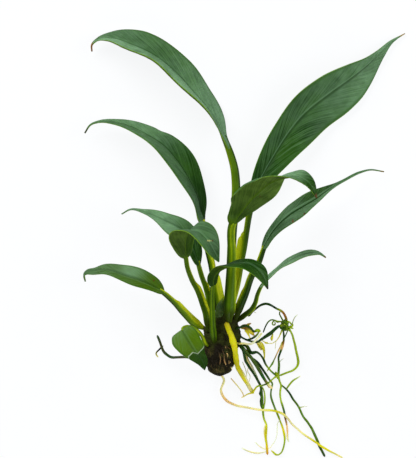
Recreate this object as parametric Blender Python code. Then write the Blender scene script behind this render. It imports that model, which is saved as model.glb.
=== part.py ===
"""An anubias, a small aquarium plant, lying on a table as it was picked.

Its pieces are a rhizome, eleven leaves with a stem each, a bud cluster and the roots. The tips of the
plant point along +Y, its roots along -Y, and +Z is up from the table.

The lines that the leaves and roots follow are written as a picture taken from straight above shows
them: across, down, and the height above the table. seen_at() turns such a reading into a place.
"""

import math
from dataclasses import dataclass

import bmesh
import bpy
import numpy as np
from mathutils import Vector

MM = 0.001

# The picture from above: its scale at the height of the leaves, its middle, and how far off the eye is
PICTURE_MM = 0.31
PICTURE_MIDDLE = (208.0, 229.0)
EYE_HEIGHT = 600.0
SCALED_HEIGHT = 8.0
PLANT_MIDDLE = (245.5, 245.5)

# Sizes in millimetres
BLADE_THICKNESS = 0.7
CAP_GAP = 0.5
BLADE_TIP_HALF = 0.35
BUD_RADIUS = 1.3
BUD_LUMP_HEIGHT = 0.13
BUD_LUMP_LENGTHS = (1.6, 2.1)

# How finely the shapes are cut
ROUTE_SAMPLES = 240
BLADE_LENGTHS = 14
BLADE_WIDTHS = 4
STEM_LENGTHS = 12
ROOT_STEP = 2.4
ROOT_FEWEST = 4
RHIZOME_BEVEL = 3
STEM_BEVEL = 2
ROOT_BEVEL = 1
BUD_SUBDIVISIONS = 2

LEAF_COLOUR = (0.035, 0.10, 0.035)
STEM_COLOUR = (0.16, 0.30, 0.015)
RHIZOME_COLOUR = (0.10, 0.065, 0.03)
ROOT_COLOURS = {
    "yellow": (0.62, 0.52, 0.07),
    "green": (0.16, 0.30, 0.03),
    "dark": (0.03, 0.09, 0.025),
    "cream": (0.75, 0.60, 0.32),
    "brown": (0.14, 0.07, 0.03),
}
LEAF_ROUGHNESS = 0.4
STEM_ROUGHNESS = 0.35
RHIZOME_ROUGHNESS = 0.7
ROOT_ROUGHNESS = 0.5


@dataclass
class Leaf:
    """One leaf: the way its stem and midrib run, and how its blade is shaped and turned."""
    name: str
    stem: list              # readings from the rhizome to the foot of the blade
    midrib: list            # readings from there to the tip
    tilt: list              # degrees that the upper side leans to the right of its growth, foot to tip,
                            # beside a blade that bends along its midrib with no twist
    half_width: float
    stem_radius: tuple      # at the rhizome and at the blade
    widest: float = 0.42    # where along the blade it is widest
    foot: float = 0.9       # how pointed the foot of the blade is: 0.5 is round, 2 is drawn out
    tip: float = 1.5        # how pointed the tip is, in the same way
    fold: float = 12.0      # degrees that each half rises from flat


@dataclass
class Root:
    """One root: the way it runs, its radius at both ends and its colour."""
    name: str
    route: list
    radius: tuple
    colour: str


LEAVES = [
    Leaf("tall_left",
         stem=[(230, 318, 8), (230.5, 290, 7.8), (231.5, 255, 8), (232.5, 232, 8.5), (235, 208, 9),
               (236.3, 185, 9), (235, 167, 8.8), (230.5, 153, 8.5), (225, 138, 7.8)],
         midrib=[(211, 113, 7), (194, 93, 6.8), (176, 73, 6.8), (155, 56, 6.8), (132, 45, 6.3),
                 (110, 39.5, 5), (96, 42, 3.6), (91.5, 51, 2.6)],
         tilt=[80, 61, 54, 50], half_width=8.6, stem_radius=(1.4, 1.2), widest=0.5, tip=1.2),
    Leaf("tall_right",
         stem=[(229.5, 319, 4.4), (231, 304, 4.2), (235, 285, 4), (238.5, 262, 4), (241.5, 247, 4),
               (244.5, 232, 4), (248.7, 213, 4), (253, 198, 4.5)],
         midrib=[(261, 179, 5), (273.5, 157, 5), (287, 135.5, 5), (302.5, 116, 5), (330.5, 93, 5),
                 (351, 78, 4.5), (367, 66.5, 3.2), (386, 49, 1.7), (405, 34, 0.7)],
         tilt=[5, 18, 34, 20], half_width=7.3, stem_radius=(1.3, 1.1), widest=0.55, foot=1.0,
         tip=1.6),
    Leaf("centre",
         stem=[(228.6, 320.5, 12.1), (229.8, 295, 13.5), (231.8, 255, 14.8), (232.4, 224, 17)],
         midrib=[(245, 206, 20), (258, 192, 25), (272, 181, 30), (285, 177, 34), (298, 177, 37),
                 (309, 184, 38), (317, 198, 37)],
         tilt=[-148, -132, -118, -102], half_width=6.7, stem_radius=(1.6, 1.1), foot=0.5, tip=1.0),
    Leaf("upper_left",
         stem=[(219.8, 318, 7), (219, 300, 7.3), (214.5, 281, 7.8), (210, 262, 8), (207, 243, 8.5),
               (202, 222, 8.5)],
         midrib=[(197.5, 198, 8.5), (189, 180, 8.5), (177, 161, 8.5), (163, 145.5, 8), (146, 134.5, 7.5),
                 (118, 123.5, 6.5), (96, 123.5, 5.5), (84.5, 133, 4.5)],
         tilt=[60, 52, 58, 50], half_width=6.4, stem_radius=(1.4, 1.1), widest=0.36, tip=2.2),
    Leaf("behind_left",
         stem=[(213.4, 322.5, 5.4), (211, 318, 5.6), (209, 298, 6), (202.5, 277, 7), (198, 263, 8)],
         midrib=[(193, 247, 9), (183, 231, 11), (165, 221, 12), (145, 212.5, 12), (130, 209.5, 11),
                 (121.5, 214, 10)],
         tilt=[35, 30, 35, 40], half_width=3.7, stem_radius=(0.9, 0.7), widest=0.34, tip=2.0),
    Leaf("folded_left",
         stem=[(210, 332, 9.2), (207.5, 326, 9.6), (206, 314, 10), (202.5, 304, 11), (198, 293, 12.7), (192, 279, 15.5),
               (187, 268, 18), (186, 258, 21)],
         midrib=[(185, 245, 24.5), (186, 236.5, 28), (190, 231.5, 31), (198, 232.5, 33), (206, 240, 34),
                 (213, 250.5, 33.5), (219, 262, 32)],
         tilt=[-155, -155, -150, -150], half_width=5.9, stem_radius=(0.9, 0.7), widest=0.5, foot=0.6,
         tip=0.9, fold=20),
    Leaf("low_left",
         stem=[(207.8, 330, 6.5), (203, 328, 6.5), (197, 325, 7), (185, 314, 9), (173, 301, 11), (161, 291, 13)],
         midrib=[(145, 282.5, 14), (125, 275.5, 14), (105, 270, 12.5), (91, 270, 11),
                 (85, 273, 9.5), (85, 281, 8)],
         tilt=[35, 30, 35, 30], half_width=3.05, stem_radius=(1.1, 0.7), widest=0.33, foot=0.6, tip=1.0),
    Leaf("small_centre",
         stem=[(215.4, 338, 11.2), (213.2, 328, 13), (212.2, 310, 14), (212.6, 286, 17)],
         midrib=[(214, 276, 19.5), (221, 269, 23), (235, 264.5, 26), (249, 265, 28), (260, 273, 28),
                 (268, 289, 26)],
         tilt=[-150, -138, -122, -105], half_width=3.0, stem_radius=(0.9, 0.7), tip=0.9),
    Leaf("mid_right",
         stem=[(236.3, 319.5, 9.9), (239, 309, 10), (245.3, 294, 9.5), (251, 277, 9), (259, 262, 9),
               (264, 248, 9)],
         midrib=[(271, 234, 9), (281, 222, 9), (292, 213, 9), (303, 206.5, 9), (316, 199, 9),
                 (331, 189, 8.5), (345, 179, 7), (363, 170, 5), (384, 171, 3.5)],
         tilt=[-25, -32, -30, -30], half_width=3.4, stem_radius=(1.15, 0.8), widest=0.4, foot=1.1,
         tip=3.8),
    Leaf("narrow_right",
         stem=[(238, 322, 6.3), (246, 315, 6.8), (252.5, 306, 8), (255.5, 296, 9), (261, 286, 10)],
         midrib=[(270, 276, 11), (279, 268, 11.3), (288.5, 261.5, 11.5), (299, 256, 11.5),
                 (309, 253, 11), (318, 253, 10), (326, 257.4, 9)],
         tilt=[-55, -60, -60, -50], half_width=1.9, stem_radius=(0.7, 0.5), widest=0.6,
         foot=2.0, tip=0.8),
    Leaf("drooping",
         stem=[(208.2, 344.3, 9.2), (204, 340, 10.8), (201, 334.5, 13.5), (196.5, 329, 16.8), (190, 324.5, 19.2),
               (184.5, 323.5, 21), (181.8, 327, 22)],
         midrib=[(183, 334, 22.6), (187.5, 345, 22.3), (196.5, 357.5, 21), (205, 370, 18.5)],
         tilt=[0, 0, 0, 0], half_width=4.7, stem_radius=(0.7, 0.6), widest=0.36, foot=0.6, tip=0.9),
]

ROOTS = [
    Root("yellow_front", [(227, 325.5, 13.2), (230, 332, 13.3), (233, 340, 12.5), (235, 352, 11),
                          (237, 364, 8), (242, 375, 5), (248, 384, 3), (253, 393, 1.5)],
         (1.0, 0.55), "yellow"),
    Root("dark_front", [(241, 342.5, 8), (244, 350, 9), (247, 360, 7.6), (252, 368, 5.6), (257, 376, 3.8),
                        (261, 386, 2.3), (262, 400, 1), (263, 412, 0.6), (265, 424, 0.6),
                        (266, 437, 0.6), (267, 455, 0.5)],
         (0.75, 0.4), "dark"),
    Root("green_front", [(241, 347, 6), (247, 355, 5.5), (254, 363, 4.6), (260, 371, 3.6),
                         (266, 380, 2.9), (271, 388, 2.3)],
         (0.75, 0.6), "green"),
    Root("hooked", [(239, 355, 3), (246, 362, 2.6), (256, 373, 1.2), (264, 383, 0.6), (269, 391, 0.6),
                    (272, 400, 0.6), (275, 410, 0.6), (281, 423, 0.6), (284, 435, 0.6),
                    (284, 445, 0.6), (280, 454, 0.6), (273, 453, 0.6)],
         (0.6, 0.45), "green"),
    Root("dark_right", [(240, 336, 7), (247, 340, 8), (256, 340, 9), (265, 336, 10), (273, 331, 11),
                        (279, 327, 11.5)],
         (0.6, 0.5), "dark"),
    Root("arching", [(238.4, 330, 4), (244, 325, 3.6), (248, 316, 4), (256, 309, 5.5), (266, 304, 8),
                     (275, 307, 10), (282, 312, 11.5), (285.5, 319, 12)],
         (0.55, 0.45), "dark"),
    Root("bent_right", [(289.5, 329, 10.5), (293, 338, 8), (295, 349, 4.5), (298, 360, 1.8),
                        (295, 367, 0.8), (288, 372, 0.6), (282, 374, 0.6)],
         (0.55, 0.45), "green"),
    Root("kinked", [(284, 332, 9.5), (283, 340, 7.5), (281, 348, 4.5), (279, 357, 2), (277, 366, 0.8),
                    (278.5, 380, 0.7), (280, 396, 0.6), (285, 413, 0.6), (287, 425, 0.6),
                    (288, 438, 0.5)],
         (0.55, 0.4), "green"),
    Root("long_right", [(283, 385.5, 0.7), (286, 389.5, 0.7), (291.5, 397, 0.7), (299, 408, 0.7),
                        (303, 418, 0.7), (309, 426, 0.7), (315, 437, 0.7), (325, 457, 0.6)],
         (0.55, 0.4), "dark"),
    Root("long_pale", [(224, 380, 2.2), (221, 391, 1.4), (226, 400, 1), (233, 404, 1), (247, 407, 2),
                       (263, 409.5, 3), (275, 411, 3), (285, 416, 2.6), (293, 424, 1.4),
                       (302, 432, 1.2), (314, 440, 2.2), (328, 449, 0.8), (343, 458, 0.5)],
         (0.55, 0.35), "cream"),
    Root("yellow_back", [(240, 339, 4.3), (250, 342, 4), (259, 347, 4), (264, 354, 3), (264, 362, 1.5),
                         (262, 371, 0.8)],
         (0.5, 0.4), "yellow"),
    Root("brown_short", [(239, 329.4, 9.1), (247, 326.5, 10), (251, 331, 9.5), (253, 336, 9.5)],
         (0.6, 0.4), "brown"),
    Root("pale_crossing", [(237.4, 344, 9.7), (243, 345, 11), (252, 345, 12), (257, 340, 12.5),
                           (261, 334, 13), (264, 330, 13)],
         (0.5, 0.4), "cream"),
    Root("thin_arc", [(263, 333, 7.5), (266, 325, 8.5), (271, 320, 9.5), (277, 321, 9.5)],
         (0.4, 0.35), "green"),
    Root("dark_curl", [(239.3, 347, 3.7), (249, 352, 4.2), (255, 352, 5.5), (261, 357, 5), (265, 364, 3.4),
                       (270, 370, 1.6), (274, 376, 0.9)],
         (0.5, 0.4), "dark"),
    Root("left", [(205, 352, 7), (195, 357, 7.5), (182, 357, 7), (171, 357, 6), (164, 352, 5.5),
                  (160, 342, 5), (157, 335, 4.5)],
         (0.6, 0.45), "brown"),
    Root("left_fork", [(159.2, 349.6, 5.2), (156, 353.5, 4.8), (158.5, 357.5, 4.4)],
         (0.35, 0.25), "yellow"),
    Root("thin_diagonal", [(277, 351, 5.2), (273, 359.5, 5), (268.5, 367.5, 4.8), (263, 375.5, 4.8)],
         (0.4, 0.3), "green"),
    Root("thin_cross", [(281, 377.5, 2.2), (272, 380, 4.4), (264, 384, 4.2), (257, 388.5, 3.3),
                        (250, 394, 2.8), (243.5, 397.5, 1.4), (239, 399.5, 0.8)],
         (0.4, 0.3), "yellow"),
    Root("tuft_strand", [(283.9, 321, 10.1), (280.5, 316.5, 9.2), (278.5, 312, 8.6), (279.5, 307.5, 8)],
         (0.35, 0.3), "green"),
    Root("tuft_whisker", [(289.3, 321.5, 12.3), (291, 317, 12.8), (293.5, 314.3, 13.2), (297, 313.5, 13.4)],
         (0.3, 0.25), "cream"),
    Root("right_fork", [(289, 389, 1.4), (291.5, 384.5, 2), (294.5, 380.5, 2.2), (299, 377, 2)],
         (0.35, 0.25), "green"),
    Root("lower_loop", [(243, 448.5, 0.8), (250, 452.5, 0.6), (258, 453, 0.6), (263, 451, 0.6)],
         (0.35, 0.3), "yellow"),
]

RHIZOME_ROUTE = [(226, 323, 8), (226, 327, 7.4), (225, 336, 6.6), (223, 346, 6), (221, 356, 5.6),
                 (220, 366, 5), (220, 372, 4.6), (220, 375, 4.4)]
RHIZOME_RADII = [1.4, 3.1, 4.2, 4.6, 4.9, 4.2, 3.0, 1.4]
BUD_PLACE = (285.3, 325.2, 11.5)


def seen_at(across, down, height):
    """The place in metres of a reading: across, down, and the height in millimetres."""
    scale = PICTURE_MM * (EYE_HEIGHT - height) / (EYE_HEIGHT - SCALED_HEIGHT)
    right = (across - PICTURE_MIDDLE[0]) * scale
    up = (PICTURE_MIDDLE[1] - down) * scale
    middle_right = (PLANT_MIDDLE[0] - PICTURE_MIDDLE[0]) * PICTURE_MM
    middle_up = (PICTURE_MIDDLE[1] - PLANT_MIDDLE[1]) * PICTURE_MM
    return Vector((right - middle_right, up - middle_up, height)) * MM


def smooth(values, knots, samples):
    """A smooth line through the values, whose slope at each one comes from its neighbours."""
    values = np.array(values, dtype=float)
    slopes = np.gradient(values, knots, axis=0)
    spots = np.linspace(knots[0], knots[-1], samples)
    first = np.clip(np.searchsorted(knots, spots, side="right") - 1, 0, len(knots) - 2)
    span = knots[first + 1] - knots[first]
    part = (spots - knots[first]) / span
    if values.ndim == 2:
        part, span = part[:, None], span[:, None]
    start = (2 * part ** 3 - 3 * part ** 2 + 1) * values[first]
    start += (part ** 3 - 2 * part ** 2 + part) * span * slopes[first]
    end = (3 * part ** 2 - 2 * part ** 3) * values[first + 1]
    end += (part ** 3 - part ** 2) * span * slopes[first + 1]
    return start + end


def distances(places):
    """How far along a line each of its places is."""
    steps = np.linalg.norm(np.diff(places, axis=0), axis=1)
    return np.concatenate([[0.0], np.cumsum(steps)])


class Route:
    """A smooth line through readings, asked for places by the distance along it in metres."""

    def __init__(self, readings):
        places = np.array([seen_at(*reading) for reading in readings])
        knots = distances(places)
        self.line = smooth(places, knots, ROUTE_SAMPLES)
        self.along = distances(self.line)
        self.length = self.along[-1]
        self.marks = knots / knots[-1] * self.length

    def place(self, distance):
        """The place that far along the line."""
        return Vector([np.interp(distance, self.along, self.line[:, axis]) for axis in range(3)])

    def heading(self, distance):
        """The way the line goes there."""
        near = self.length / ROUTE_SAMPLES
        return (self.place(distance + near) - self.place(distance - near)).normalized()


def material(name, colour, roughness):
    """A plain material of the piece's own colour."""
    made = bpy.data.materials.new(name)
    made.use_nodes = True
    shader = made.node_tree.nodes["Principled BSDF"]
    shader.inputs["Base Color"].default_value = (*colour, 1.0)
    shader.inputs["Roughness"].default_value = roughness
    shader.inputs["Metallic"].default_value = 0.0
    return made


def add_object(name, data, surface, plant):
    """Puts the piece into the scene as part of the plant."""
    data.materials.append(surface)
    made = bpy.data.objects.new(name, data)
    bpy.context.scene.collection.objects.link(made)
    made.parent = plant
    return made


def tube(name, places, radii, bevel, surface, plant):
    """A round, tapering piece with closed ends."""
    curve = bpy.data.curves.new(name, "CURVE")
    curve.dimensions = "3D"
    curve.bevel_depth = MM
    curve.bevel_resolution = bevel
    curve.use_fill_caps = True
    spline = curve.splines.new("POLY")
    spline.points.add(len(places) - 1)
    for point, place, radius in zip(spline.points, places, radii):
        point.co = (*place, 1.0)
        point.radius = radius
    return add_object(name, curve, surface, plant)


def leaf_stem(leaf, route, foot, plant):
    """The stem of a leaf, a little thinner towards the blade."""
    end = foot - CAP_GAP * MM
    spots = np.linspace(0.0, end, STEM_LENGTHS)
    base, top = leaf.stem_radius
    radii = [base + (top - base) * (spot / end) ** 2 for spot in spots]
    places = [route.place(spot) for spot in spots]
    surface = material("stem_" + leaf.name, STEM_COLOUR, STEM_ROUGHNESS)
    tube("stem_" + leaf.name, places, radii, STEM_BEVEL, surface, plant)


def half_width_at(leaf, part):
    """How wide one half of the blade is, in millimetres, that part of the way along it."""
    quarter = math.pi / 2.0
    if part < leaf.widest:
        shape = math.sin(quarter * part / leaf.widest) ** leaf.foot
    else:
        shape = math.cos(quarter * (part - leaf.widest) / (1.0 - leaf.widest)) ** leaf.tip
    least = leaf.stem_radius[1] * (1.0 - part) + BLADE_TIP_HALF * part
    return least + (leaf.half_width - least) * shape


def blade_frames(route, spots):
    """At each spot the way the midrib goes, and the side and the top of a blade with no twist."""
    heading = route.heading(spots[0])
    right = heading.cross(Vector((0.0, 0.0, 1.0))).normalized()
    frames = []
    for spot in spots:
        following = route.heading(spot)
        right = heading.rotation_difference(following) @ right
        heading = following
        frames.append((heading, right, right.cross(heading)))
    return frames


def leaf_blade(leaf, route, foot, plant):
    """The blade of a leaf: two halves that rise a little from the midrib, thickened to a solid."""
    spots = np.linspace(foot, route.length, BLADE_LENGTHS + 1)
    tilts = smooth(leaf.tilt, np.linspace(0.0, 1.0, len(leaf.tilt)), BLADE_LENGTHS + 1)
    frames = blade_frames(route, spots)
    rise = math.radians(leaf.fold)
    mesh = bmesh.new()
    rows = []
    for step, (spot, degrees, frame) in enumerate(zip(spots, tilts, frames)):
        heading, right, up = frame
        tilt = math.radians(degrees)
        facing = math.cos(tilt) * up + math.sin(tilt) * right
        across = heading.cross(facing)
        half = half_width_at(leaf, step / BLADE_LENGTHS) * MM
        row = []
        for side in np.linspace(-1.0, 1.0, BLADE_WIDTHS + 1):
            offset = across * side * math.cos(rise) + facing * abs(side) * math.sin(rise)
            row.append(mesh.verts.new(route.place(spot) + offset * half))
        rows.append(row)
    for near, far in zip(rows, rows[1:]):
        for index in range(BLADE_WIDTHS):
            mesh.faces.new((near[index], near[index + 1], far[index + 1], far[index]))
    data = bpy.data.meshes.new("leaf_" + leaf.name)
    mesh.to_mesh(data)
    mesh.free()
    data.shade_smooth()
    surface = material("leaf_" + leaf.name, LEAF_COLOUR, LEAF_ROUGHNESS)
    blade = add_object("leaf_" + leaf.name, data, surface, plant)
    thicken = blade.modifiers.new("thickness", "SOLIDIFY")
    thicken.thickness = BLADE_THICKNESS * MM
    thicken.offset = 0.0


def leaf(shape, plant):
    """A stem and its blade, which share one smooth line."""
    route = Route(shape.stem + shape.midrib)
    foot = route.marks[len(shape.stem) - 1]
    leaf_stem(shape, route, foot, plant)
    leaf_blade(shape, route, foot, plant)


def root(shape, plant):
    """A root, thinner at its far end."""
    route = Route(shape.route)
    count = max(ROOT_FEWEST, round(route.length / (ROOT_STEP * MM)) + 1)
    spots = np.linspace(0.0, route.length, count)
    near, far = shape.radius
    radii = np.linspace(near, far, count)
    surface = material("root_" + shape.name, ROOT_COLOURS[shape.colour], ROOT_ROUGHNESS)
    tube("root_" + shape.name, [route.place(spot) for spot in spots], radii, ROOT_BEVEL, surface, plant)


def rhizome(plant):
    """The thick creeping stem, lumpy where old leaves grew."""
    places = [seen_at(*reading) for reading in RHIZOME_ROUTE]
    surface = material("rhizome", RHIZOME_COLOUR, RHIZOME_ROUGHNESS)
    tube("rhizome", places, RHIZOME_RADII, RHIZOME_BEVEL, surface, plant)


def bud_cluster(plant):
    """The knot of small buds that the roots at the right spring from."""
    mesh = bmesh.new()
    bmesh.ops.create_icosphere(mesh, subdivisions=BUD_SUBDIVISIONS, radius=BUD_RADIUS * MM)
    centre = seen_at(*BUD_PLACE)
    across, along = (2.0 * math.pi / (length * MM) for length in BUD_LUMP_LENGTHS)
    for vert in mesh.verts:
        lump = BUD_LUMP_HEIGHT * MM * math.sin(across * vert.co.x) * math.cos(along * vert.co.y)
        vert.co = centre + vert.co + vert.co.normalized() * lump
    data = bpy.data.meshes.new("bud_cluster")
    mesh.to_mesh(data)
    mesh.free()
    surface = material("bud_cluster", ROOT_COLOURS["green"], ROOT_ROUGHNESS)
    add_object("bud_cluster", data, surface, plant)


def main():
    for old in list(bpy.data.objects):
        bpy.data.objects.remove(old, do_unlink=True)
    plant = bpy.data.objects.new("anubias", None)
    bpy.context.scene.collection.objects.link(plant)
    rhizome(plant)
    for shape in LEAVES:
        leaf(shape, plant)
    bud_cluster(plant)
    for shape in ROOTS:
        root(shape, plant)


if __name__ == "__main__":
    main()
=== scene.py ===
"""The looks of an anubias, a small aquarium plant, lying on a pale table as it was picked.

The lines that the leaves and roots follow are readings of a picture taken from straight above: across, down,
and the height above the table in millimetres. seen_at() turns such a reading into a place. Every piece of
the plant but the knot of buds is rolled from a flat grid, so its UV map runs along the piece and round it.
"""

import math
import random
from dataclasses import dataclass, field

import bpy
import numpy as np
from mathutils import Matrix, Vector, noise


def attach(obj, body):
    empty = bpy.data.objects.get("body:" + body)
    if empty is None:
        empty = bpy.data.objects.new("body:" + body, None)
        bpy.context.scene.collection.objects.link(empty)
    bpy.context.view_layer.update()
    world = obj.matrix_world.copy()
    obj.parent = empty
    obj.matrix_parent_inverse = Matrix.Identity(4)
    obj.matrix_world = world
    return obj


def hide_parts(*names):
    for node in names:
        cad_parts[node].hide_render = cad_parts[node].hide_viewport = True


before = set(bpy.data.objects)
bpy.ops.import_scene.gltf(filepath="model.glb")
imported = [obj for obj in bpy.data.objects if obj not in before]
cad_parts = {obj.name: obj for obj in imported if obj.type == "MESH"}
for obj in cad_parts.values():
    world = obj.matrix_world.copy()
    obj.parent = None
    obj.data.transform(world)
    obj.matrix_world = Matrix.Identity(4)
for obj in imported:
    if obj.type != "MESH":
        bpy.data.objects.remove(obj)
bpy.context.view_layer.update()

bl_info = {
    "name": "Anubias",
    "version": (1, 0, 0),
    "blender": (4, 5, 0),
    "location": "3D View > Sidebar > Anubias",
    "description": "Builds a small anubias: leaf blades, stems, a rhizome, roots and the table it lies on",
    "category": "Add Mesh",
}

MM = 0.001

# The picture from above: its scale at the height of the leaves, its middle, and how far off the eye is
PICTURE_MM = 0.31
PICTURE_MIDDLE = (208.0, 229.0)
PICTURE_SIZE = (416.0, 458.0)
EYE_HEIGHT = 600.0
SCALED_HEIGHT = 8.0
PLANT_MIDDLE = (245.5, 245.5)

# How finely the pieces are rolled: a STEP is in millimetres, and the others are numbers of points
ROUTE_SAMPLES = 480
BLADE_LENGTHS = 130
BLADE_ROUND = 64
STEM_STEP = 0.7
STEM_ROUND = 40
ROOT_STEP = 0.45
ROOT_ROUND = 14
ROOTLET_STEP = 0.25
ROOTLET_ROUND = 10
RHIZOME_LENGTHS = 90
RHIZOME_ROUND = 72
TABLE_CORNERS = 96

# In millimetres: the voxels of the knot of buds, the half width of the longest blade, how softly the halves
# of a blade meet at the midrib, and the camera's sensor
BUD_VOXEL = 0.1
LONG_BLADE_HALF_WIDTH = 7.3
RIB_ROUNDING = 0.4
SENSOR_MM = 36.0

# How a side vein leaves the midrib and bends, and how much each half of a blade is arched
VEIN_SLANT = 2.9
VEIN_BEND = 0.09
CAMBER = 0.16

# The pale colour of the painted glint along the crease of the drooping blade
CREASE_GLINT_COLOUR = (0.62, 0.72, 0.55)
RHIZOME_RINGS = 9.0
RHIZOME_SEED = 4.7
BUD_SEED = 11
TINY = 1e-6

# How near to each other points are merged, and how wide a light is, in metres
MERGE = 1e-7
LIGHT_SIZE = 0.6


@dataclass
class Leaf:
    """One leaf: the way its stem and midrib run, and how its blade and stem are shaped and coloured."""
    name: str
    stem: list              # readings from the rhizome to the foot of the blade
    midrib: list            # readings from there to the tip
    tilt: list              # degrees that the upper side leans to the right of its growth, foot to tip
    half_width: float       # millimetres
    stem_radius: tuple      # at the rhizome and at the blade
    widest: float = 0.42    # where along the blade it is widest
    foot: float = 0.9       # how pointed the foot of the blade is
    tip: float = 1.5        # how pointed the tip is
    fold: float = 12.0      # degrees that each half rises from flat
    left: list = field(default_factory=lambda: [1.0, 1.0])   # share of the half width, foot to tip
    right: list = field(default_factory=lambda: [1.0, 1.0])
    dents: list = field(default_factory=list)    # side, where along, depth and length in the margin
    wave: tuple = (0.25, 3.0, 0.0)               # height in millimetres, how many, and where they start
    lobe: float = 0.6       # how far the foot of the blade reaches back beside the stem
    early: float = 1.0      # how far the foot of the blade reaches down the stem, in millimetres
    taper: float = 2.0      # how late along the stem it grows thin
    steady: float = 0.0     # how much of the foot of the blade holds one direction
    roll: list = field(default_factory=list)     # rolled margins: side, where across, degrees, start, end
    tone: tuple = (0.42, 0.42)      # painted light of the stem between its stripes, foot to top
    stripes: list = field(default_factory=list)  # stripes of painted light and shade: degrees round (0 right, 90 up, 180 left), width, glow
    sheaths: list = field(default_factory=list)  # degrees round, where it starts and ends, and its width
    crown: float = 6.0      # how far up the stem the painted shade of the crown reaches, in millimetres
    spots: list = field(default_factory=list)    # along, across, radius, on the upper side or not, how pale
    crease: list = field(default_factory=list)   # along and across of the corners of a crease, painted as a pale glint with painted shade beyond
    dead_from: float = 1.1  # where along the blade its dead tip starts
    dead: tuple = (0.10, 0.045, 0.015)           # colour of the dead tip
    bloom: tuple = ((0.3, 0.4), (0.3, 0.4))      # painted blue-grey sheen of the left and right half, foot to tip
    under: tuple = ((0.3, 0.2), (0.3, 0.2))      # painted shade on the underside's left and right half, foot to tip
    young: float = 0.0      # how yellow-green the upper side is
    rim: float = 0.5        # how wide and pale the margin is
    rib: tuple = (0.15, 0.4)                     # how clear the midrib's painted highlight and its painted shade line are


@dataclass
class Root:
    """One root: the way it runs, its radius along it and its colour."""
    name: str
    route: list
    radius: tuple           # millimetres, evenly spread from its start to its tip
    colour: str
    tints: list = field(default_factory=list)    # colours, evenly spread from its start to its tip
    flat: float = 1.0       # how thick it is for its width
    lean: float = 0.0       # degrees that a flat one leans over


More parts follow.
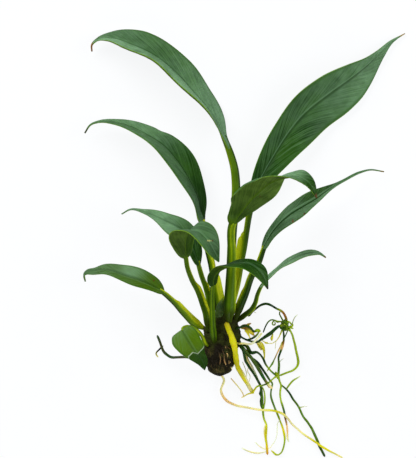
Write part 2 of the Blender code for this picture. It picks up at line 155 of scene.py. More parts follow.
LEAVES = [
    Leaf("tall_left",
         stem=[(230, 318, 8), (230.5, 290, 7.8), (231.5, 255, 8), (232.5, 232, 8.5), (235, 208, 9),
               (236, 185, 9), (234.5, 169, 8.8), (230.5, 154, 8.5), (224.5, 138.5, 7.8)],
         midrib=[(211, 113, 7), (194, 93, 6.8), (176, 73, 6.8), (155, 56, 6.8), (132, 45, 6.3),
                 (111, 38.5, 5), (98, 39.8, 3.9), (91.5, 45.5, 3.1), (91.6, 51.5, 2.6)],
         tilt=[80, 61, 54, 50], half_width=8.6, stem_radius=(1.4, 0.85), widest=0.5, tip=1.2,
         left=[1.0, 1.05, 1.0, 0.9, 0.85, 1.2, 0.9], right=[1.1, 1.08, 1.1, 1.0, 1.2, 1.3, 0.6],
         early=4.5, taper=6.0, roll=[(-1, 0.88, -110, 0.1, 0.98)], wave=(0.3, 3.5, 0.4),
         tone=(0.45, 0.45), stripes=[(150, 25, 0.3), (30, 30, -0.25)],
         dead_from=0.955, dead=(0.26, 0.10, 0.02), rib=(0.1, 0.5),
         bloom=((0.65, 0.7, 1.0, 0.75, 0.7, 1.0, 0.8), (0.72, 0.68, 0.5, 0.25, 0.4, 0.4))),
    Leaf("tall_right",
         stem=[(229.5, 319, 4.4), (232.5, 304, 4.2), (237.5, 285, 4), (241.3, 262, 4), (244.2, 247, 4),
               (246.4, 232, 4), (249.3, 214, 4), (253, 198, 4.5)],
         midrib=[(261, 179, 5), (273.5, 157, 5), (287, 135.5, 5), (302.5, 116, 5), (330.5, 93, 5),
                 (351, 78, 4.5), (366, 66, 3.2), (380, 53, 2.1), (391, 42, 1.3), (405, 33.6, 0.7)],
         tilt=[5, 18, 34, 20], half_width=7.3, stem_radius=(0.85, 1.1), widest=0.55, foot=1.0, tip=1.6,
         left=[1.1, 1.1, 0.95, 1.1, 1.0, 0.64, 0.5],
         right=[1.1, 1.12, 1.17, 1.2, 1.17, 1.2, 1.2, 0.8, 0.5],
         tone=(1.0, 1.0, 0.95, 0.6, 0.25, 0.2, 0.25), stripes=[(145, 42, 0.6), (175, 22, 0.5)],
         sheaths=[(172, 0.0, 0.73, 1.45)], wave=(0.3, 3.0, 0.1),
         dead_from=0.975, dead=(0.34, 0.22, 0.04), rib=(0.35, 0.5),
         bloom=((0.0, 0.05, 0.18, 0.26, 0.34, 0.46, 0.66, 0.66),
                (0.0, 0.05, 0.1, 0.2, 0.42, 0.54, 0.5, 0.45))),
    Leaf("centre",
         stem=[(228.8, 319, 13), (229.8, 295, 13.5), (231.8, 255, 14.8), (232.4, 224, 17)],
         midrib=[(245, 206, 20), (258, 192, 25), (272, 181, 30), (285, 177, 34), (298, 177, 37),
                 (309, 184, 38), (317, 198, 37)],
         tilt=[-150, -150, -120, -102], half_width=6.7, stem_radius=(1.6, 1.1), foot=0.8, tip=1.0,
         left=[0.8, 1.15, 1.15, 1.05, 0.85, 1.05, 1.3], right=[1.0, 1.12, 0.9, 0.85, 1.0, 1.0, 1.0],
         lobe=0.0, early=0.0, roll=[(1, 0.86, 160, 0.15, 0.6)],
         tone=(0.45, 0.52, 0.6, 0.74, 0.74), sheaths=[(5, 0.0, 0.5, 0.3)],
         stripes=[(148, 34, -0.45), (98, 10, 0.14), (62, 9, -0.12), (12, 24, 0.35)],
         dents=[(1, 0.16, 0.35, 0.025), (1, 0.02, -0.7, 0.05)],
         spots=[(0.305, -0.31, 0.3, 0, 0.0), (0.148, -0.4, 0.26, 0, 0.0)],
         dead_from=0.97, dead=(0.12, 0.06, 0.02),
         under=((0.8, 0.3, 0.05, 0.0, 0.0), (0.75, 0.2, 0.0, 0.0, 0.0)),
         bloom=((0.3, 0.4, 0.5, 0.7, 0.9, 1.0, 0.7, 0.05, 0.0),) * 2),
    Leaf("upper_left",
         stem=[(219.8, 318, 7), (218, 300, 7.3), (214.4, 281, 7.8), (211.2, 262, 8), (206.6, 243, 8.5),
               (202, 222, 8.5)],
         midrib=[(197.5, 198, 8.5), (189, 180, 8.5), (177, 161, 8.5), (163, 145.5, 8), (146, 134.5, 7.5),
                 (118, 122.8, 6.5), (100, 121.5, 5.7), (90, 125, 5.1), (84.5, 133, 4.5)],
         tilt=[60, 52, 58, 50], half_width=6.4, stem_radius=(1.2, 1.0), widest=0.36, tip=1.6,
         left=[1.1, 1.12, 1.0, 1.25, 1.05, 1.55, 0.8], right=[0.8, 0.92, 1.04, 1.12, 0.95, 0.8, 0.5],
         dents=[(1, 0.56, 0.5, 0.03), (-1, 0.6, 0.3, 0.04)], sheaths=[(5, 0.0, 0.5, 0.9)],
         tone=(0.5, 0.5), stripes=[(42, 44, 0.8), (5, 30, 0.5), (152, 30, -0.55)],
         dead_from=0.97, dead=(0.04, 0.06, 0.012), rib=(0.05, 0.6),
         bloom=((0.45, 0.4, 0.33, 0.43, 0.48, 0.4, 0.4), (0.0, 0.0, 0.05, 0.15, 0.5, 0.58, 0.52, 0.45))),
    Leaf("behind_left",
         stem=[(211, 318, 5.6), (209.5, 303, 5.9), (206, 288, 6.4), (202, 277, 7), (198, 263, 8)],
         midrib=[(193, 247, 9), (183, 231, 11), (165, 221, 12), (145, 212.5, 12), (130, 209.5, 11),
                 (121.5, 214, 10)],
         tilt=[35, 30, 35, 40], half_width=3.7, stem_radius=(0.9, 0.7), widest=0.34, tip=2.0,
         left=[1.0, 1.0, 1.0, 1.2, 0.6, 0.4, 0.4], right=[1.1, 1.0, 0.92, 0.93, 0.95, 0.8, 0.5],
         tone=(0.5, 0.5), stripes=[(10, 28, 1.2), (165, 24, 0.2), (100, 14, -0.25)],
         sheaths=[(8, 0.0, 0.66, 0.45)],
         bloom=((0.0, 0.1, 0.6, 0.8, 0.6, 0.5), (0.0, 0.05, 0.35, 0.8, 0.7, 0.5))),
    Leaf("folded_left",
         stem=[(207.5, 329, 9.5), (206, 314, 10), (202.5, 304, 11), (198.3, 292, 12.7), (191.6, 279, 15.5),
               (187.6, 268, 18), (186, 258, 21)],
         midrib=[(185, 245, 24.5), (186, 236.5, 28), (190, 231.5, 31), (198, 232.5, 33), (206, 240, 34),
                 (213, 250.5, 33.5), (219, 262, 32)],
         tilt=[-155, -155, -150, -150], half_width=5.9, stem_radius=(0.9, 0.7), widest=0.5, foot=0.6,
         tip=0.9, fold=20, early=0.0, left=[1.0, 1.0, 0.95, 0.9, 1.0, 0.97, 1.0],
         right=[0.8, 0.9, 0.96, 1.0, 1.2, 1.35, 1.2], rim=1.4,
         spots=[(0.732, -0.06, 0.24, 1, 1.0), (0.742, -0.14, 0.26, 1, 1.0), (0.752, -0.22, 0.22, 1, 0.9),
                (0.764, -0.34, 0.26, 1, 0.0)],
         tone=(0.3, 0.4, 0.45), stripes=[(10, 28, 1.5), (105, 10, -0.15), (150, 18, 0.12)],
         sheaths=[(5, 0.1, 0.62, 0.6)], under=((0.8, 0.7, 0.55, 0.4), (0.5, 0.15, 0.0, 0.0)),
         bloom=((0.4, 0.4, 0.4, 0.42, 0.3, 0.2, 0.1), (0.4, 0.4, 0.4, 0.45, 0.42, 0.25, 0.1))),
    Leaf("low_left",
         stem=[(203, 328, 6.5), (197, 325, 7), (185, 314, 9), (173, 301, 11), (161, 291, 13)],
         midrib=[(145, 282.5, 14), (125, 275.5, 14), (105, 269.8, 12.5), (95, 270.5, 11.5),
                 (87.5, 271, 10.6), (84.3, 274, 9.6), (85, 281.5, 8)],
         tilt=[35, 30, 35, 30], half_width=3.05, stem_radius=(1.1, 0.7), widest=0.33, foot=0.6, tip=1.0,
         left=[0.7, 0.85, 0.88, 0.82, 0.8, 1.4, 1.6], right=[1.4, 1.3, 1.2, 1.12, 0.8, 0.5, 0.8],
         tone=(0.9, 0.55, 0.4), stripes=[(25, 40, 0.85), (150, 30, -0.35)], sheaths=[(10, 0.0, 0.72, 0.5)],
         crown=0.6, young=0.5, spots=[(0.15, 0.5, 0.24, 1, 0.0)],
         bloom=((0.0, 0.0, 0.12, 0.2, 0.3, 0.3), (0.0, 0.1, 0.7, 0.3, 0.4, 0.3))),
    Leaf("small_centre",
         stem=[(214.6, 344, 9.4), (213.4, 334, 12.2), (212.2, 310, 14), (212.6, 286, 17)],
         midrib=[(214, 276, 19.5), (221, 269, 23), (235, 264.5, 26), (249, 265, 28), (260, 273, 28),
                 (268, 289, 26)],
         tilt=[-150, -138, -122, -105], half_width=3.0, stem_radius=(0.9, 0.7), tip=0.9,
         left=[1.0, 1.0, 1.0, 1.0, 1.35, 1.8, 1.8], right=[0.9, 1.0, 1.3, 2.0, 2.3, 2.0, 1.5],
         foot=0.5, early=0.0, tone=(0.3, 0.48, 0.6), under=((1.0, 0.75, 0.3, 0.2), (1.0, 0.7, 0.3, 0.2)),
         stripes=[(110, 10, 0.2), (75, 9, -0.35), (35, 14, 0.14), (150, 14, -0.25)],
         dead_from=0.96, dead=(0.02, 0.02, 0.008),
         bloom=((0.3, 0.3, 0.25, 0.08, 0.0, 0.05, 0.0), (0.3, 0.3, 0.25, 0.1, 0.0, 0.05, 0.0))),
    Leaf("mid_right",
         stem=[(236.5, 317, 10.3), (239, 309, 10), (245.3, 294, 9.5), (251, 277, 9), (259, 262, 9),
               (264, 248, 9)],
         midrib=[(271, 234, 9), (281, 222, 9), (292, 213, 9), (303, 206.5, 9), (316, 199, 9),
                 (331, 188, 8.5), (345, 180, 7), (360, 172.3, 5), (370, 169.7, 4.4), (384, 171.5, 3.5)],
         tilt=[-25, -32, -30, -30], half_width=3.4, stem_radius=(1.15, 0.8), widest=0.4, foot=1.1, tip=2.6,
         left=[1.2, 0.7, 0.92, 0.95, 0.35, 0.35, 0.8], right=[0.9, 1.05, 1.22, 0.45, 0.26, 0.35, 0.8],
         tone=(0.08, 0.1), stripes=[(165, 32, 1.7), (118, 12, 0.25)], sheaths=[(175, 0.1, 0.45, 0.4)],
         spots=[(0.28, 0.86, 0.4, 1, 0.1), (0.285, 0.74, 0.3, 1, 0.1), (0.375, 0.86, 0.3, 1, 0.0)],
         dead_from=0.975, dead=(0.22, 0.14, 0.03), rib=(0.35, 1.0),
         bloom=((0.2, 0.25, 0.25, 0.0, 0.25, 0.42, 0.45), (0.25, 0.3, 0.42, 0.45, 0.52, 0.5, 0.5))),
    Leaf("narrow_right",
         stem=[(236, 322, 6.3), (244, 315.5, 6.8), (251.5, 309.5, 7.6), (255.3, 303, 8.3), (257.4, 295, 9.2),
               (261.5, 286, 10)],
         midrib=[(270, 276, 11), (279, 268, 11.3), (288.5, 261.5, 11.5), (299, 256, 11.5),
                 (309, 253, 11), (318, 253, 10), (326, 257.4, 9)],
         tilt=[-55, -60, -60, -50], half_width=1.9, stem_radius=(0.8, 0.55), widest=0.6, foot=2.0, tip=0.8,
         left=[0.5, 1.0, 0.8, 0.7, 0.9, 0.8, 0.9], right=[1.0, 1.0, 1.0, 1.0, 1.4, 1.1, 0.7],
         tone=(0.3, 0.4), stripes=[(5, 32, 0.9), (180, 26, 0.5), (95, 18, -0.2)],
         dead_from=0.97, dead=(0.22, 0.15, 0.05),
         bloom=((1.0, 1.0, 0.8, 0.65, 0.6), (1.0, 1.0, 0.85, 0.7, 0.6))),
    Leaf("drooping",
         stem=[(210.5, 347, 8), (205, 343, 10.8), (202.5, 337, 13), (198.5, 331.5, 15.5), (193, 328, 17.8),
               (187, 326.5, 19.6), (182.5, 329, 21.4)],
         midrib=[(186.5, 337.5, 22.2), (190.8, 345, 22.2), (196.4, 353.4, 21.6), (202.3, 361.5, 20.2),
                 (204.8, 370, 18.5)],
         tilt=[0, 0, 0, 0], half_width=4.4, stem_radius=(0.55, 0.5), widest=0.25, foot=0.35, tip=0.9,
         left=[0.8, 0.9, 0.86, 0.86, 0.72, 0.8, 0.8], right=[1.0, 1.12, 1.0, 0.86, 0.72, 0.8, 0.8],
         lobe=1.0, early=0.0, steady=0.14, tone=(0.6, 0.8), stripes=[(90, 30, 0.3)], young=0.75,
         crease=[(0.57, 1.0), (0.516, 0.778), (0.5, 0.222), (0.586, -0.084), (0.53, -0.916), (0.51, -1.0)],
         bloom=((0.25, 0.0, 0.0, 0.0, 0.0), (0.3, 0.1, 0.0, 0.0, 0.0))),
]

ROOTS = [
    Root("yellow_front",
         [(226.5, 323.5, 13.2), (229, 330, 13.3), (232, 338, 12.8), (234.5, 347, 11.8), (236, 358, 9.5),
          (237.5, 366, 7.5), (241.5, 374.5, 5), (246, 382, 3.2), (250, 388.5, 2), (252.8, 392.5, 1.4)],
         (0.8, 0.92, 0.95, 0.9, 0.9, 0.8, 0.6, 0.55, 0.6), "yellow",
         ["ochre", "lemon", "lemon", "lemon", "lemon", "lemon", "lemon", "lemon", "yellow", "yellow",
          "yellow", "cream", "lemon"]),
    Root("dark_front",
         [(241, 344.5, 8), (243.6, 352, 8.6), (245, 359, 7.8), (248.5, 366, 6.4), (253, 372.5, 4.6),
          (257, 379, 3.2), (260.7, 386.5, 2.2), (261.6, 394, 1.3), (262.2, 403, 0.8), (263, 412, 0.6),
          (264, 419, 0.6), (266, 424, 0.6), (266.2, 431, 0.6), (265.7, 437, 0.6), (266.7, 445, 0.6),
          (267.5, 455, 0.5)],
         (0.42, 0.4, 0.38, 0.36, 0.36, 0.44, 0.36, 0.3, 0.34, 0.36, 0.34), "dark",
         ["dark", "dark", "dark", "dark", "dark", "moss", "green", "lime", "lemon", "lemon", "orange"]),
    Root("green_front",
         [(237.5, 338, 6.4), (241, 346, 6.4), (246.5, 352.5, 5.8), (252, 359, 4.9), (257, 366.5, 4),
          (262, 375, 3.2), (266.5, 382.5, 2.7), (270.5, 388, 2.3)],
         (0.62, 0.62, 0.58, 0.5, 0.5), "green", ["dark", "moss", "moss", "moss", "moss", "moss", "tan"]),
    Root("hooked",
         [(251, 357.5, 2.2), (257, 362, 1.6), (262, 368.5, 1), (266.5, 375, 0.7), (270, 380.5, 0.6),
          (272.3, 383.4, 0.6), (271.5, 388, 0.6), (270.8, 395, 0.6), (272.5, 402, 0.6), (275, 408.5, 0.6),
          (277, 413, 0.6), (279.5, 419.5, 0.6), (282, 426, 0.6), (284, 433, 0.6), (284.7, 440, 0.6),
          (283.4, 447.5, 0.6), (281, 453, 0.6), (277.5, 455, 0.6), (274, 453, 0.6), (271, 450, 0.7)],
         (0.36, 0.36, 0.32, 0.28, 0.28, 0.3, 0.32, 0.32, 0.3, 0.26, 0.2), "green",
         ["dark", "dark", "dark", "green", "green", "green", "lime", "lemon", "lime", "lime", "lemon"]),
    Root("dark_right",
         [(237, 334, 6.8), (242, 337.5, 7.4), (247, 340, 8), (252, 341.5, 8.5), (257, 342, 9),
          (261, 339.5, 9.5), (266, 336.3, 10), (271, 332.8, 10.8), (275, 329, 11.2), (279.5, 325.5, 11.5)],
         (0.32, 0.34, 0.42, 0.5, 0.5), "dark"),
    Root("arching",
         [(249, 315.5, 4.2), (252, 312, 5), (256, 308.6, 5.8), (261, 305, 7), (266.5, 303.8, 8),
          (271.5, 305.5, 9.2), (276, 308.3, 10), (280.3, 310.4, 11), (283.2, 312.6, 11.5),
          (285.3, 316.3, 11.8), (286.8, 321.5, 12)],
         (0.36, 0.36, 0.38, 0.34, 0.4, 0.34), "dark", ["dark"] * 9 + ["lime", "brown", "brown", "moss"]),
    Root("bent_right",
         [(289, 328.5, 10.8), (291.5, 333, 9.4), (294, 341, 7), (296, 350, 4.2), (297.8, 358.5, 2),
          (298.3, 362.5, 1.4), (297, 366.5, 0.9), (293.5, 370, 0.7), (288, 372.3, 0.6),
          (279.2, 375.8, 0.6)],
         (0.34, 0.34, 0.38, 0.42, 0.42, 0.32, 0.28), "green", ["lime"]),
    Root("kinked",
         [(283.2, 329.5, 9.9), (283.8, 336, 8.6), (283.5, 342, 6.8), (282.3, 347, 5), (280, 353, 3),
          (278.5, 358, 1.6), (279, 364, 0.9), (278.8, 370, 0.7), (278.5, 376, 0.7), (279.5, 381, 0.7),
          (281, 385, 0.7), (280.2, 391, 0.7), (280.2, 396, 0.6), (281, 401, 0.6), (282.6, 406, 0.6),
          (284, 411, 0.6), (285, 417, 0.6), (286.6, 424, 0.6), (287.4, 431, 0.6), (287.5, 438, 0.5)],
         (0.28, 0.34, 0.34, 0.32, 0.36, 0.3, 0.26, 0.34, 0.28, 0.22), "green",
         ["dark", "dark", "moss", "brown", "tan", "moss", "dark", "moss", "green", "green", "lime", "lime",
          "lime", "lime", "lime", "green", "moss", "brown", "tan", "tan", "cream"]),
    Root("long_right",
         [(281.2, 385, 0.7), (285.5, 388.5, 0.7), (288.6, 392, 0.7), (293, 399, 0.7), (299, 407.5, 0.7),
          (302.5, 415.5, 0.7), (308, 422.5, 0.7), (312, 429, 0.7), (315, 435.5, 0.7), (317.5, 441, 0.7),
          (320, 447, 0.6), (325, 457, 0.6)],
         (0.26, 0.32, 0.36, 0.36, 0.4, 0.4, 0.4, 0.4), "dark",
         ["green", "dark", "green", "green", "green", "moss", "dark"]),
    Root("long_pale",
         [(220.5, 374, 4.2), (224, 380, 2.2), (221, 391, 1.4), (226, 400, 1), (235, 405, 1),
          (247, 407.5, 2), (256, 409.3, 2.6), (265, 410.2, 3), (273, 410.6, 3), (277.5, 411.7, 3),
          (283, 414, 2.8), (287.5, 418.3, 2.2), (292, 424, 1.4), (298, 429.5, 1.2), (304, 434.5, 1.4),
          (310, 438.5, 2), (315, 441.8, 2.2), (321, 446, 1.6), (343, 458, 0.5)],
         (0.38, 0.36, 0.36, 0.36, 0.36, 0.38, 0.32, 0.32, 0.34, 0.3, 0.26), "cream",
         ["cream", "cream", "tan", "cream", "cream", "yellow", "cream", "cream", "lemon", "yellow",
          "cream"]),
    Root("yellow_back",
         [(256, 341.5, 4.4), (259, 342.5, 4.4), (262.3, 345.5, 4), (264, 351, 3), (264.4, 356, 2),
          (264, 361, 1)],
         (0.35, 0.62, 0.6, 0.4, 0.22), "yellow", ["cream", "yellow", "lemon", "yellow"], 0.5, 30.0),
    Root("brown_short",
         [(241, 327.5, 9.3), (245, 327, 9.6), (249, 329.5, 9.6), (252.5, 333.5, 9.5), (254.5, 336, 9.5)],
         (0.4, 0.95, 1.05, 0.7, 0.25), "brown", ["yellow", "brown", "yellow", "brown"], 0.3, -20.0),
    Root("pale_crossing",
         [(234.5, 343, 8), (239, 343.6, 10), (244, 343.4, 11), (248, 344.1, 11.6), (252, 343.6, 12),
          (256, 340, 12.5), (259.5, 336, 12.8), (262.2, 332.6, 13)],
         (0.22, 0.3, 0.34, 0.32), "cream", ["yellow", "cream", "pale", "cream"]),
    Root("thin_arc",
         [(263.5, 331.5, 8), (265.5, 326.5, 8.5), (268.5, 321.7, 9), (271.6, 319.8, 9.4),
          (275.3, 320.7, 9.6), (278.5, 323, 10)],
         (0.2, 0.22, 0.24, 0.26), "green", ["dark", "dark", "green", "dark"]),
    Root("dark_curl",
         [(244, 344.5, 3.6), (247.5, 347, 4.1), (249.3, 351, 4.6), (252, 352.8, 5.4), (256.5, 352, 5.4),
          (260.5, 355, 5), (263.5, 359.5, 4), (265, 363, 3.2), (269.5, 369.5, 1.8), (276.5, 376, 0.8)],
         (0.4, 0.55, 0.34, 0.36, 0.3, 0.26), "dark",
         ["dark", "moss", "dark", "dark", "dark", "dark", "collar", "lime", "green", "green"]),
    Root("left",
         [(205, 352, 7), (195, 357, 7.5), (182, 357, 7), (171, 357, 6), (164, 352, 5.5), (160, 342, 5),
          (157, 335, 4.5)],
         (0.5, 0.42, 0.4, 0.4, 0.36), "brown", ["brown", "moss", "olive", "dark", "olive", "dark"]),
    Root("left_fork", [(162.2, 346.8, 5.3), (158.8, 350, 5.2), (156, 353.5, 4.8), (158.5, 357.5, 4.4)],
         (0.3, 0.2), "yellow", ["dark", "olive", "yellow"]),
    Root("thin_diagonal",
         [(282, 342.5, 6.4), (279.8, 348, 5.6), (277, 353.5, 5.2), (274.3, 359.5, 4.9), (271, 365.5, 4.8),
          (267, 371.5, 4.8)],
         (0.2, 0.22, 0.2, 0.26, 0.2), "green", ["lime", "tan", "green", "lime"]),
    Root("thin_cross",
         [(276.8, 376.4, 2.2), (273, 378.8, 3), (270.8, 381, 3.4), (267, 383.6, 3.8), (262, 385.6, 3.8),
          (257.5, 386.2, 3.3), (254.6, 389.6, 2.8), (252.6, 392.6, 2.2), (248, 394, 1.8), (244, 396.3, 1.2),
          (241, 398, 0.8)],
         (0.26, 0.24, 0.28, 0.3, 0.3, 0.22, 0.18), "yellow",
         ["lime", "lime", "moss", "lime", "lemon", "lemon", "cream"]),
    Root("tuft_strand",
         [(284.8, 324.6, 11), (283.2, 321, 9.9), (281, 317, 9.4), (279.5, 313.6, 9.2), (280.2, 311, 9.6)],
         (0.26, 0.22, 0.2), "green"),
    Root("tuft_whisker", [(292, 324.5, 12.3), (293.5, 320, 12.8), (295, 317, 13.2), (297.8, 314.5, 13.4)],
         (0.16, 0.12), "cream", ["green", "pale"]),
    Root("right_fork",
         [(286.5, 389, 1.2), (289.5, 384.6, 1.8), (293, 380.6, 2.2), (296.5, 378.4, 2.2), (301, 375.6, 2)],
         (0.22, 0.3, 0.26, 0.14), "green", ["green", "lime", "lime", "pale"]),
    Root("lower_loop",
         [(243, 448.6, 0.8), (247, 450.6, 0.7), (252.5, 452.4, 0.6), (258, 453.1, 0.6),
          (266.5, 451.6, 0.6)],
         (0.16, 0.22, 0.2), "yellow", ["pale", "cream", "pale"]),
]

